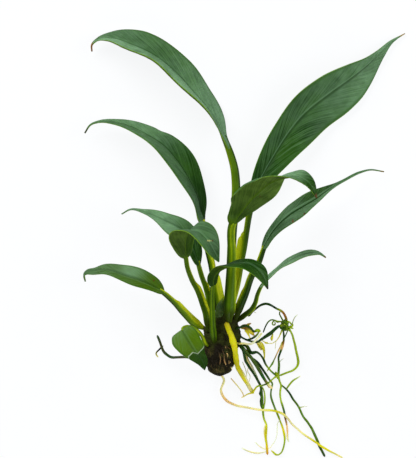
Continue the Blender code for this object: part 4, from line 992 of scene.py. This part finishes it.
    def with_spots(self, colour):
        """The colour with the dead spots and the thin, bleached ones."""
        for along, across, radius, facing, pale in self.leaf.spots:
            centre = (along * self.length / MM, across * self.leaf.half_width, 0.0)
            ragged = self.plus(self.far_from(self.long_way, centre), self.times(self.fine, 0.3))
            near = self.span(ragged, radius * 1.4 + 0.15, radius * 0.5 + 0.15)
            seen = self.span(self.upper, 0.4, 0.6) if facing else self.span(self.upper, 0.6, 0.4)
            spot = self.mix(pale, self.settings.brown, self.settings.pale)
            colour = self.mix(self.times(near, seen), colour, spot)
        return colour

    def with_crease(self, colour):
        """The colour with a painted pale glint along a crease across the blade, and painted shade beyond it.
        """
        _, crease = self.attribute("crease")
        # Painted shade beyond the crease, and a painted pale glint along it
        beyond = self.times(self.span(crease, -0.1, 0.2), 0.75)
        colour = self.mix(beyond, colour, self.settings.deep)
        line = self.span(self.absolute(crease), 0.22, 0.05)
        return self.mix(self.times(line, 0.65), colour, CREASE_GLINT_COLOUR)

    def with_dead_tip(self, colour):
        """The colour with a dead tip that starts along a ragged line."""
        start = self.leaf.dead_from
        ragged = self.plus(self.along, self.times(self.minus(self.fine, 0.5), 0.02))
        return self.mix(self.span(ragged, start - 0.012, start + 0.012), colour, self.leaf.dead)


def leaf_surface(leaf, settings, length):
    """The finished material of one blade."""
    made = LeafSurface(leaf, settings, length)
    green = made.upper_side()
    olive = made.underside()
    colour = made.mix(made.span(made.upper, 0.45, 0.55), olive, green)
    colour = made.with_spots(made.with_margin_and_foot(colour))
    if leaf.crease:
        colour = made.with_crease(colour)
    made.colour(made.with_dead_tip(colour))
    made.roughness(made.span(made.fine, 0.2, 0.8, 0.36, 0.48))
    made.bump(made.plus(made.times(made.minor_vein, -0.5), made.times(made.fine, 0.5)), 0.00004)
    return made.material


def stem_surface(settings):
    """Glossy stem: stripes of painted light and painted shade, streaked, a pale thin sheath, painted shade
    at the foot.
    """
    made = Surface("stem_surface", Specular_IOR_Level=0.12, Subsurface_Weight=0.06, Subsurface_Scale=0.001)
    made.shader.inputs["Subsurface Radius"].default_value = (0.6, 1.0, 0.1)
    marks, _ = made.attribute("stalk")
    foot, glow, sheath = made.parts(marks)
    ribs, turn = made.unrolled()
    streaks = made.noise(made.vector(made.times(ribs, 2.0), made.times(turn, 34.0)), 1.0)
    cloud = made.noise(made.objects_place(), 300.0)
    # share is the painted light round the stem: its stripes of light and shade, streaked and mottled
    share = made.plus(glow, made.times(made.minus(streaks, 0.5), 0.45))
    share = made.plus(share, made.times(made.minus(cloud, 0.5), 0.3))
    colour = made.mix(made.span(share, 0.05, 0.5), settings.shaded, settings.middle)
    colour = made.mix(made.span(share, 0.5, 1.0), colour, settings.bright)
    # The sheath's own pale colour, which the brightest painted light also takes
    colour = made.mix(made.span(made.sum("MAXIMUM", made.minus(share, 0.75), sheath), 0.06, 0.45), colour,
                      settings.sheath)
    # Painted shade where the stems crowd together at the crown
    shade = made.plus(foot, made.times(made.minus(cloud, 0.5), 0.8))
    colour = made.mix(made.times(made.span(shade, 0.1, 0.9), 0.85), colour, settings.crown)
    made.colour(colour)
    made.roughness(made.span(cloud, 0.2, 0.8, 0.3, 0.45))
    made.bump(streaks, 0.0001)
    return made.material


def rhizome_surface(settings):
    """Dark brown skin with ring scars, living green patches and beige scars."""
    made = Surface("rhizome_surface", roughness=0.6, Specular_IOR_Level=0.15)
    place = made.objects_place()
    large = made.noise(place, 260.0, 5.0, 0.65)
    small = made.noise(place, 1600.0, 4.0, 0.6)
    marks, _ = made.attribute("trunk")
    along, ring, low = made.parts(marks)
    _, turn = made.unrolled()
    fibre = made.noise(made.vector(made.times(along, 9.0), made.times(turn, 60.0)), 1.0, 5.0, 0.7)
    living = made.plus(large, made.span(along, 0.6, 0.25, 0.0, 0.2))
    colour = made.mix(made.span(living, 0.46, 0.66), settings.bark, settings.skin)
    scars = made.span(made.plus(fibre, made.times(large, 0.9)), 0.95, 1.25)
    colour = made.mix(made.times(scars, low), colour, settings.scar)
    colour = made.mix(made.times(ring, 0.8), colour, settings.bark)
    made.colour(colour)
    made.roughness(made.span(small, 0.3, 0.7, 0.45, 0.8))
    made.bump(made.plus(small, made.times(large, 2.0)), 0.0006)
    return made.material


def root_surface(name, settings):
    """Moist root skin: its own colour along it, mottled, with bruises."""
    made = Surface(name, roughness=0.35, Specular_IOR_Level=0.2, Subsurface_Weight=0.12,
                   Subsurface_Scale=0.001)
    place = made.objects_place()
    patches = made.noise(place, 220.0, 3.0)
    small = made.noise(place, 1500.0, 4.0, 0.6)
    colour, _ = made.attribute("skin")
    depth = made.tree.nodes.new("ShaderNodeHueSaturation")
    made.give(depth.inputs["Color"], colour)
    made.give(depth.inputs["Value"], made.span(patches, 0.3, 0.7, 0.82, 1.15))
    skin = made.mix(made.times(made.span(small, 0.58, 0.78), 0.1), depth.outputs[0], settings.brown)
    made.colour(skin)
    made.roughness(made.span(small, 0.25, 0.75, 0.28, 0.5))
    made.bump(made.plus(small, patches), 0.0001)
    return made.material


def half_widths(leaf, part):
    """How wide each half of the blade is, in millimetres, that part of the way along it: left and right."""
    rising = np.sin(math.pi / 2 * np.clip(part / leaf.widest, 0.0, 1.0)) ** leaf.foot
    falling = np.cos(math.pi / 2 * np.clip((part - leaf.widest) / (1.0 - leaf.widest), 0.0, 1.0)) ** leaf.tip
    shape = np.where(part < leaf.widest, rising, falling)
    least = leaf.stem_radius[1] * (0.8 + 0.3 * step_up(0.0, 0.05, part)) * (1.0 - part) + 0.12 * part
    halves = []
    for sign, shares in ((-1, leaf.left), (1, leaf.right)):
        half = least + (leaf.half_width * evenly(shares, part) - least) * shape
        for side, where, depth, length in leaf.dents:
            if side == sign:
                half = half - depth * hump(part - where, length)
        halves.append(half)
    return halves


def rolled_margins(leaf, part, share, half, x, raised):
    """x and raised once the margins are rolled under, and how far each point leans over with them."""
    leaning = np.zeros_like(x)
    for sign, edge, degrees, begin, end in leaf.roll:
        turned = np.clip((share * sign - edge) / (1.0 - edge), 0.0, 1.0)
        window = step_up(begin, begin + 0.15, part) * (1.0 - step_up(end - 0.15, end, part))
        angle = np.radians(degrees) * window * turned
        reach = (1.0 - edge) * half * turned
        tight = np.where(np.abs(angle) < TINY, TINY, angle)
        x = x + sign * (np.sin(angle) / tight - 1.0) * reach * math.cos(math.radians(leaf.fold))
        raised = raised - (1.0 - np.cos(angle)) / tight * reach
        leaning = leaning + sign * angle
    return x, raised, leaning


def half_marks(leaf, part, share, length):
    """The painted sheen and shade that differ between a blade's halves, and each point's distance from its
    crease.
    """
    marks = {}
    right_half = step_up(-0.12, 0.12, share)
    for name, (on_left, on_right) in (("bloom", leaf.bloom), ("under", leaf.under)):
        marks[name] = (1.0 - right_half) * evenly(on_left, part) + right_half * evenly(on_right, part)
    if leaf.crease:
        corner_along, corner_across = zip(*sorted(leaf.crease, key=lambda corner: corner[1]))
        marks["crease"] = (part - np.interp(share, corner_across, corner_along)) * length / MM
    return marks


def blade_shape(leaf, route, foot, settings):
    """The places and marks of a blade's grid: a lens in section, with a groove above and a ridge below."""
    length = route.length - foot
    parts = row_parts(BLADE_LENGTHS)
    spots = foot + parts * length
    ways, rights, ups = route.frames(np.maximum(spots, foot + leaf.steady * length))
    tilts = np.radians(evenly(leaf.tilt, parts))[:, None]
    facings = np.cos(tilts) * ups + np.sin(tilts) * rights
    acrosses = np.cross(ways, facings)
    centres = route.places(spots)
    left, right = half_widths(leaf, parts)
    rise = math.radians(leaf.fold)
    thin = settings.thickness / MM / 2
    groove = settings.groove / MM
    relief = settings.vein_relief / MM
    spacing = settings.vein_spacing / MM * (0.35 + 0.65 * leaf.half_width / LONG_BLADE_HALF_WIDTH)

    def shape(rows, turn):
        part = parts[rows]
        top = turn < 0.5
        swing = np.where(top, 4.0 * turn - 1.0, 3.0 - 4.0 * turn)
        share = np.sign(swing) * (1.0 - np.cos(math.pi * np.abs(swing))) / 2.0
        middle = (turn == 0.0) | (turn == 1.0) | (turn == 0.5)
        side = np.where(middle, 0.0, np.where(top, 1.0, -1.0))
        half = np.where(share < 0, left[rows], right[rows])
        x = share * half
        far = np.abs(x)
        soft = np.sqrt(far ** 2 + RIB_ROUNDING ** 2) - RIB_ROUNDING
        height, count, start = leaf.wave
        ripple = height * np.abs(share) ** 2.5 * np.sin(math.pi * part)
        ripple = ripple * np.sin(2 * math.pi * (count * part + start) + 1.3 * np.sign(share))
        open_blade = step_up(leaf.early * MM / length * 0.5, leaf.early * MM / length + 0.1, part)
        camber = CAMBER * np.abs(share) * (1.0 - np.abs(share)) * half * open_blade
        raised = soft * math.sin(rise) * open_blade + camber + ripple
        body = np.sqrt(np.clip(1.0 - share ** 2, 0.0, 1.0))
        round_foot = leaf.stem_radius[1] * (0.8 + 0.25 * step_up(0.0, 0.05, part)) * (1.0 - open_blade)
        sheet = np.maximum(thin * np.clip(1.0 - np.abs(share) ** 6, 0.0, 1.0) ** 0.5, round_foot * body)
        veins = (part * length / MM - VEIN_SLANT * far + VEIN_BEND * far ** 2) / spacing
        quilt = relief * np.cos(2 * math.pi * veins) * step_up(0.3, 1.2, far)
        quilt = quilt * (1.0 - share ** 4) * open_blade
        sink = groove * hump(far, 0.34 + 0.012 * half) * open_blade * (1.0 - 0.6 * part)
        rib = leaf.stem_radius[1] * (0.9 - 0.75 * part ** 0.6) * open_blade
        ridge = rib * hump(far, np.maximum(0.75 * rib, 0.22))
        out = np.where(side > 0, sheet - sink + quilt, -(sheet + ridge - quilt) * np.abs(side))
        x, raised, out = (closed_at_ends(measure, rows, BLADE_LENGTHS) for measure in (x, raised, out))
        back = leaf.lobe * np.abs(share) * np.clip(1.0 - part / 0.35, 0.0, 1.0) ** 2 * open_blade
        x, raised, leaning = rolled_margins(leaf, part, share, half, x * math.cos(rise), raised)
        along_face = raised + out * np.cos(leaning)
        offset = acrosses[rows] * (x + out * np.sin(leaning))[:, None] + facings[rows] * along_face[:, None]
        offset -= ways[rows] * back[:, None]
        marks = {"blade": np.stack([part, share, (side + 1.0) / 2.0], axis=1), "vein": veins}
        marks.update(half_marks(leaf, part, share, length))
        return centres[rows] + offset * MM, marks

    return shape


def stem_shape(leaf, route, foot, lengths, settings):
    """The places and marks of a stem's grid: grooved above, with a thin sheath low down."""
    overlap = settings.overlap
    parts = row_parts(lengths)
    spots = -overlap + parts * (foot + 1.6 * overlap)
    ways, rights, ups = route.frames(spots)
    centres = route.places(spots)
    base, top = leaf.stem_radius
    rng = random.Random(leaf.name)
    wobble = [rng.uniform(0.96, 1.05) for _ in range(7)]
    radii = (base + (top - base) * parts ** leaf.taper) * evenly(wobble, parts)
    radii = radii * (0.5 + 0.5 * step_up(-0.5, 2.5, spots / MM)) * (1.0 + 0.12 * hump(spots / MM - 4.0, 3.0))
    # How much painted crown shade each stem gets, fading up from its foot
    crown_shading = 1.0 - step_up(0.5, leaf.crown, spots / MM)
    centre_angle = math.radians(leaf.sheaths[0][0]) if leaf.sheaths else math.radians(90.0)

    def shape(rows, turn):
        part = parts[rows]
        swing = 2.0 * turn - 1.0
        angle = centre_angle + math.pi * np.sign(swing) * np.abs(swing) ** 1.5
        channel = 0.16 * hump(turned_from(angle, math.pi / 2), 0.45)
        channel = channel * step_up(0.3, 0.7, part)
        flange = np.zeros_like(part)
        for degrees, start, end, width in leaf.sheaths:
            torn = end + 0.012 * np.sin(part * 210.0) * step_up(end - 0.1, end, part)
            grown = step_up(start - 0.1, start + 0.25, part) * (1.0 - step_up(torn - 0.09, torn, part))
            gap = turned_from(angle, math.radians(degrees))
            flange += width * grown * hump(gap, settings.sheath_thickness / MM / 2.0)
        radius = closed_at_ends(radii[rows] * (1.0 - channel) + flange, rows, lengths)
        offset = rights[rows] * (np.cos(angle) * radius)[:, None]
        offset += ups[rows] * (np.sin(angle) * radius)[:, None]
        # The painted light round the stem: its level along it, with stripes of painted light and shade
        glow = evenly(leaf.tone, part)
        for degrees, width, strength in leaf.stripes:
            gap = turned_from(angle, math.radians(degrees))
            glow += strength * hump(gap, math.radians(width))
        sheath = flange / max([1.0] + [width for _, _, _, width in leaf.sheaths])
        marks = np.stack([crown_shading[rows], glow, sheath], axis=1)
        return centres[rows] + offset * MM, {"stalk": marks}

    return shape


def root_shape(root, route, lengths, overlap, settings):
    """The places and marks of a root's grid: round or flat, a little knobbly, with rounded ends."""
    parts = row_parts(lengths)
    spots = -overlap + parts * (route.length + overlap)
    ways, rights, ups = route.frames(spots)
    centres = route.places(spots)
    radii = evenly(root.radius, parts)
    rng = random.Random(root.name)
    knobs = [rng.uniform(0.88, 1.12) for _ in range(max(4, int(route.length / MM / 3.0)))]
    radii = radii * evenly(knobs, parts)
    from_end = np.minimum(spots - spots[0], spots[-1] - spots) / MM
    rounding = (1.0 - from_end / np.maximum(root.radius[-1], 0.1)).clip(0.0)
    radii = radii * np.sqrt(np.clip(1.0 - rounding ** 2, 0.02, 1.0))
    seed = rng.uniform(0.0, 50.0)
    tints = np.array([getattr(settings, tint)[:] for tint in (root.tints or [root.colour])])
    tints = evenly(tints, parts).clip(0.0, 1.0) if len(tints) > 1 else np.tile(tints, (len(parts), 1))
    lean = math.radians(root.lean)

    def shape(rows, turn):
        angle = 2 * math.pi * turn
        ring = np.array([noise.noise((seed + math.cos(a), math.sin(a), parts[r] * lengths * 0.25))
                         for a, r in zip(angle, rows)])
        radius = closed_at_ends(radii[rows] * (1.0 + 0.2 * ring), rows, lengths)
        wide, high = np.cos(angle) * radius, np.sin(angle) * radius * root.flat
        offset = rights[rows] * (wide * math.cos(lean) - high * math.sin(lean))[:, None]
        offset += ups[rows] * (wide * math.sin(lean) + high * math.cos(lean))[:, None]
        return centres[rows] + offset * MM, {"skin": tints[rows]}

    return shape


def rhizome_shape(route):
    """The places and marks of the rhizome's grid: a thick, lumpy, ringed trunk."""
    parts = row_parts(RHIZOME_LENGTHS)
    spots = parts * route.length
    ways, rights, ups = route.frames(spots)
    centres = route.places(spots)
    radii = smooth(RHIZOME_RADII, route.marks, spots)

    def shape(rows, turn):
        part = parts[rows]
        angle = 2 * math.pi * turn
        lumps = []
        for a, t in zip(angle, part):
            place = Vector((1.1 * math.cos(a), 1.1 * math.sin(a), 5.0 * t + RHIZOME_SEED))
            lumps.append(noise.fractal(place * 1.5, 0.9, 2.1, 4))
        rings = np.abs(np.sin(math.pi * (part * RHIZOME_RINGS + 0.6 * np.sin(angle)))) ** 0.4
        swell = 0.36 * hump(turned_from(angle, 0.0), 0.9)
        swell = swell * step_up(0.05, 0.25, part) * step_up(0.85, 0.55, part)
        radius = radii[rows] * (0.95 + 0.14 * np.array(lumps) + 0.07 * rings + swell)
        radius = closed_at_ends(radius, rows, RHIZOME_LENGTHS)
        offset = rights[rows] * (np.cos(angle) * radius)[:, None]
        offset += ups[rows] * (np.sin(angle) * radius)[:, None]
        low = step_up(0.5, 0.72, part) * (0.35 + 0.65 * hump(turned_from(angle, 0.7), 0.9))
        marks = np.stack([part, 1.0 - rings, low], axis=1)
        return centres[rows] + offset * MM, {"trunk": marks}

    return shape


class ANUBIAS_OT_add_blades(bpy.types.Operator):
    """Adds the eleven leaf blades"""
    bl_idname = "anubias.add_blades"
    bl_label = "Leaf blades"

    def execute(self, context):
        settings = context.scene.anubias.leaf
        for leaf in LEAVES:
            route = Route(leaf.stem + leaf.midrib)
            foot = route.marks[len(leaf.stem) - 1] - leaf.early * MM
            piece = rolled("blade_" + leaf.name, BLADE_LENGTHS, BLADE_ROUND,
                           blade_shape(leaf, route, foot, settings))
            surface = leaf_surface(leaf, settings, route.length - foot)
            dressed(piece, surface, "leaf", "leaf_" + leaf.name)
        return {"FINISHED"}


class ANUBIAS_OT_add_stems(bpy.types.Operator):
    """Adds the eleven leaf stems with their sheaths"""
    bl_idname = "anubias.add_stems"
    bl_label = "Leaf stems"

    def execute(self, context):
        settings = context.scene.anubias.stem
        surface = stem_surface(settings)
        for leaf in LEAVES:
            route = Route(leaf.stem + leaf.midrib)
            foot = route.marks[len(leaf.stem) - 1]
            lengths = round(foot / MM / STEM_STEP)
            piece = rolled("petiole_" + leaf.name, lengths, STEM_ROUND,
                           stem_shape(leaf, route, foot, lengths, settings))
            dressed(piece, surface, "stem", "stem_" + leaf.name)
        return {"FINISHED"}


class ANUBIAS_OT_add_rhizome(bpy.types.Operator):
    """Adds the rhizome"""
    bl_idname = "anubias.add_rhizome"
    bl_label = "Rhizome"

    def execute(self, context):
        piece = rolled("creeping_stem", RHIZOME_LENGTHS, RHIZOME_ROUND, rhizome_shape(Route(RHIZOME_ROUTE)))
        dressed(piece, rhizome_surface(context.scene.anubias.root), "rhizome", "rhizome")
        return {"FINISHED"}


def grown(root, settings, prefix, step, around):
    """One root or rootlet, with no material yet."""
    route = Route(root.route)
    lengths = max(12, round(route.length / MM / step))
    return rolled(prefix + root.name, lengths, around,
                  root_shape(root, route, lengths, settings.root_overlap, settings))


def joined(name, pieces):
    """The pieces as one."""
    deselect_all()
    for piece in pieces:
        piece.select_set(True)
    bpy.context.view_layer.objects.active = pieces[0]
    if len(pieces) > 1:
        bpy.ops.object.join()
    piece = bpy.context.active_object
    piece.name = piece.data.name = name
    return piece


class ANUBIAS_OT_add_roots(bpy.types.Operator):
    """Adds the thick roots"""
    bl_idname = "anubias.add_roots"
    bl_label = "Roots"

    def execute(self, context):
        settings = context.scene.anubias.root
        skins = {root.colour: None for root in ROOTS}
        for colour in skins:
            skins[colour] = root_surface(colour + "_root_skin", settings)
        for root in ROOTS:
            piece = grown(root, settings, "strand_", ROOT_STEP, ROOT_ROUND)
            dressed(piece, skins[root.colour], "root_" + root.colour, "root_" + root.name)
        return {"FINISHED"}


class ANUBIAS_OT_add_rootlets(bpy.types.Operator):
    """Adds the thin rootlets, the young buds on them and the flaps of dead tissue"""
    bl_idname = "anubias.add_rootlets"
    bl_label = "Rootlets"

    def execute(self, context):
        settings = context.scene.anubias.root
        for colour in sorted({root.colour for root in ROOTLETS}):
            pieces = [grown(root, settings, "rootlet_", ROOTLET_STEP, ROOTLET_ROUND)
                      for root in ROOTLETS if root.colour == colour]
            piece = joined("rootlets_" + colour, pieces)
            dressed(piece, root_surface(colour + "_rootlet_skin", settings), "root_" + colour)
        return {"FINISHED"}


class ANUBIAS_OT_add_buds(bpy.types.Operator):
    """Adds the cluster of small buds on the roots at the right"""
    bl_idname = "anubias.add_buds"
    bl_label = "Bud cluster"

    def execute(self, context):
        settings = context.scene.anubias.root
        rng = random.Random(BUD_SEED)
        buds = []
        for across, down, height, size in BUDS:
            deselect_all()
            bpy.ops.mesh.primitive_ico_sphere_add(subdivisions=3, radius=size * MM,
                                                  location=seen_at(across, down, height))
            stretch = (rng.uniform(0.75, 1.1), rng.uniform(0.9, 1.4), rng.uniform(0.7, 1.0))
            bpy.ops.transform.resize(value=stretch)
            buds.append(bpy.context.active_object)
        piece = joined("bud_knot", buds)
        remesh = piece.modifiers.new("one body", "REMESH")
        remesh.mode = "VOXEL"
        remesh.voxel_size = BUD_VOXEL * MM
        bpy.ops.object.modifier_apply(modifier=remesh.name)
        bpy.ops.object.transform_apply(location=True, rotation=True, scale=True)
        bpy.ops.object.shade_smooth()
        places = [vertex.co.copy() for vertex in piece.data.vertices]
        skin = piece.data.attributes.new("skin", "FLOAT_VECTOR", "POINT")
        for place, colour in zip(places, skin.data):
            share = step_up(-0.25, 0.35, noise.noise(place * 900.0))
            colour.vector = (1.0 - share) * np.array(settings.moss) + share * np.array(settings.lime)
        dressed(piece, root_surface("bud_skin", settings), "root_green", "bud_cluster")
        return {"FINISHED"}


def add_table(settings):
    """The round table, which glows a little and doesn't show in the gloss of the leaves."""
    deselect_all()
    bpy.ops.mesh.primitive_circle_add(vertices=TABLE_CORNERS, radius=settings.table_radius,
                                      fill_type="NGON")
    table = bpy.context.active_object
    table.name = table.data.name = "table"
    top = Surface("table_top", roughness=0.9, Specular_IOR_Level=0.0)
    grain = top.noise(top.objects_place(), 90.0, 4.0)
    shade = tuple(0.97 * part for part in settings.table)
    top.colour(top.mix(top.span(grain, 0.2, 0.8), settings.table, shade))
    top.shader.inputs["Emission Color"].default_value = (0.975, 0.985, 1.0, 1.0)
    top.shader.inputs["Emission Strength"].default_value = settings.table_glow
    top.bump(grain, 0.00005)
    table.data.materials.append(top.material)
    table.visible_glossy = False


def add_lights(scene, settings):
    """The even light of the room, and three soft lights that point at the plant."""
    world = bpy.data.worlds.new("room")
    world.use_nodes = True
    sky = world.node_tree.nodes["Background"]
    sky.inputs["Color"].default_value = (0.95, 0.98, 1.0, 1.0)
    sky.inputs["Strength"].default_value = settings.world_strength
    scene.world = world
    for name, place, power, tint in (
            ("key_light", (-0.45, 0.55, 0.55), settings.key_power, (1.0, 1.0, 0.97)),
            ("side_light", (0.65, 0.05, 0.5), settings.side_power, (0.97, 0.99, 1.0)),
            ("fill_light", (-0.1, -0.7, 0.5), settings.fill_power, (1.0, 0.99, 0.95))):
        bpy.ops.object.light_add(type="AREA", location=place)
        light = bpy.context.active_object
        light.name = name
        light.data.shape = "DISK"
        light.data.size = LIGHT_SIZE
        light.data.energy = power
        light.data.color = tint
        light.rotation_euler = (-Vector(place)).to_track_quat("-Z", "Y").to_euler()


def add_camera(scene):
    """The camera straight above the middle of the picture, with the picture's scale."""
    eye = seen_at(*PICTURE_MIDDLE, 0.0)
    bpy.ops.object.camera_add(location=(eye[0], eye[1], EYE_HEIGHT * MM), rotation=(0.0, 0.0, 0.0))
    camera = bpy.context.active_object
    camera.name = "camera"
    camera.data.sensor_width = SENSOR_MM
    camera.data.lens = SENSOR_MM * (EYE_HEIGHT - SCALED_HEIGHT) / (PICTURE_SIZE[1] * PICTURE_MM)
    camera.data.clip_start = 0.01
    camera.data.clip_end = 10.0
    scene.camera = camera


class ANUBIAS_OT_add_stage(bpy.types.Operator):
    """Adds the table, the lights and the camera"""
    bl_idname = "anubias.add_stage"
    bl_label = "Stage"

    def execute(self, context):
        settings = context.scene.anubias.stage
        add_table(settings)
        add_lights(context.scene, settings)
        add_camera(context.scene)
        context.scene.view_settings.view_transform = "Standard"
        return {"FINISHED"}


class ANUBIAS_PT_panel(bpy.types.Panel):
    """Lists the settings and the pieces of the anubias"""
    bl_idname = "ANUBIAS_PT_panel"
    bl_label = "Anubias"
    bl_space_type = "VIEW_3D"
    bl_region_type = "UI"
    bl_category = "Anubias"

    def draw(self, context):
        settings = context.scene.anubias
        for title, group in (("Leaves", settings.leaf), ("Stems", settings.stem),
                             ("Rhizome and roots", settings.root), ("Stage", settings.stage)):
            box = self.layout.box()
            box.label(text=title)
            for name in group.__annotations__:
                box.prop(group, name)
        for operator in OPERATORS:
            self.layout.operator(operator.bl_idname)


SETTINGS = (AnubiasLeafSettings, AnubiasStemSettings, AnubiasRootSettings, AnubiasStageSettings,
            AnubiasSettings)
OPERATORS = (ANUBIAS_OT_add_rhizome, ANUBIAS_OT_add_blades, ANUBIAS_OT_add_stems, ANUBIAS_OT_add_roots,
             ANUBIAS_OT_add_rootlets, ANUBIAS_OT_add_buds, ANUBIAS_OT_add_stage)


def register():
    for shown in (*SETTINGS, *OPERATORS, ANUBIAS_PT_panel):
        bpy.utils.register_class(shown)
    bpy.types.Scene.anubias = bpy.props.PointerProperty(type=AnubiasSettings, name="Anubias",
                                                        description="Settings of the anubias")


def unregister():
    del bpy.types.Scene.anubias
    for shown in (ANUBIAS_PT_panel, *reversed(OPERATORS), *reversed(SETTINGS)):
        bpy.utils.unregister_class(shown)


def main():
    register()
    bpy.ops.anubias.add_rhizome()
    bpy.ops.anubias.add_blades()
    bpy.ops.anubias.add_stems()
    bpy.ops.anubias.add_roots()
    bpy.ops.anubias.add_rootlets()
    bpy.ops.anubias.add_buds()
    bpy.ops.anubias.add_stage()


if __name__ == "__main__":
    main()
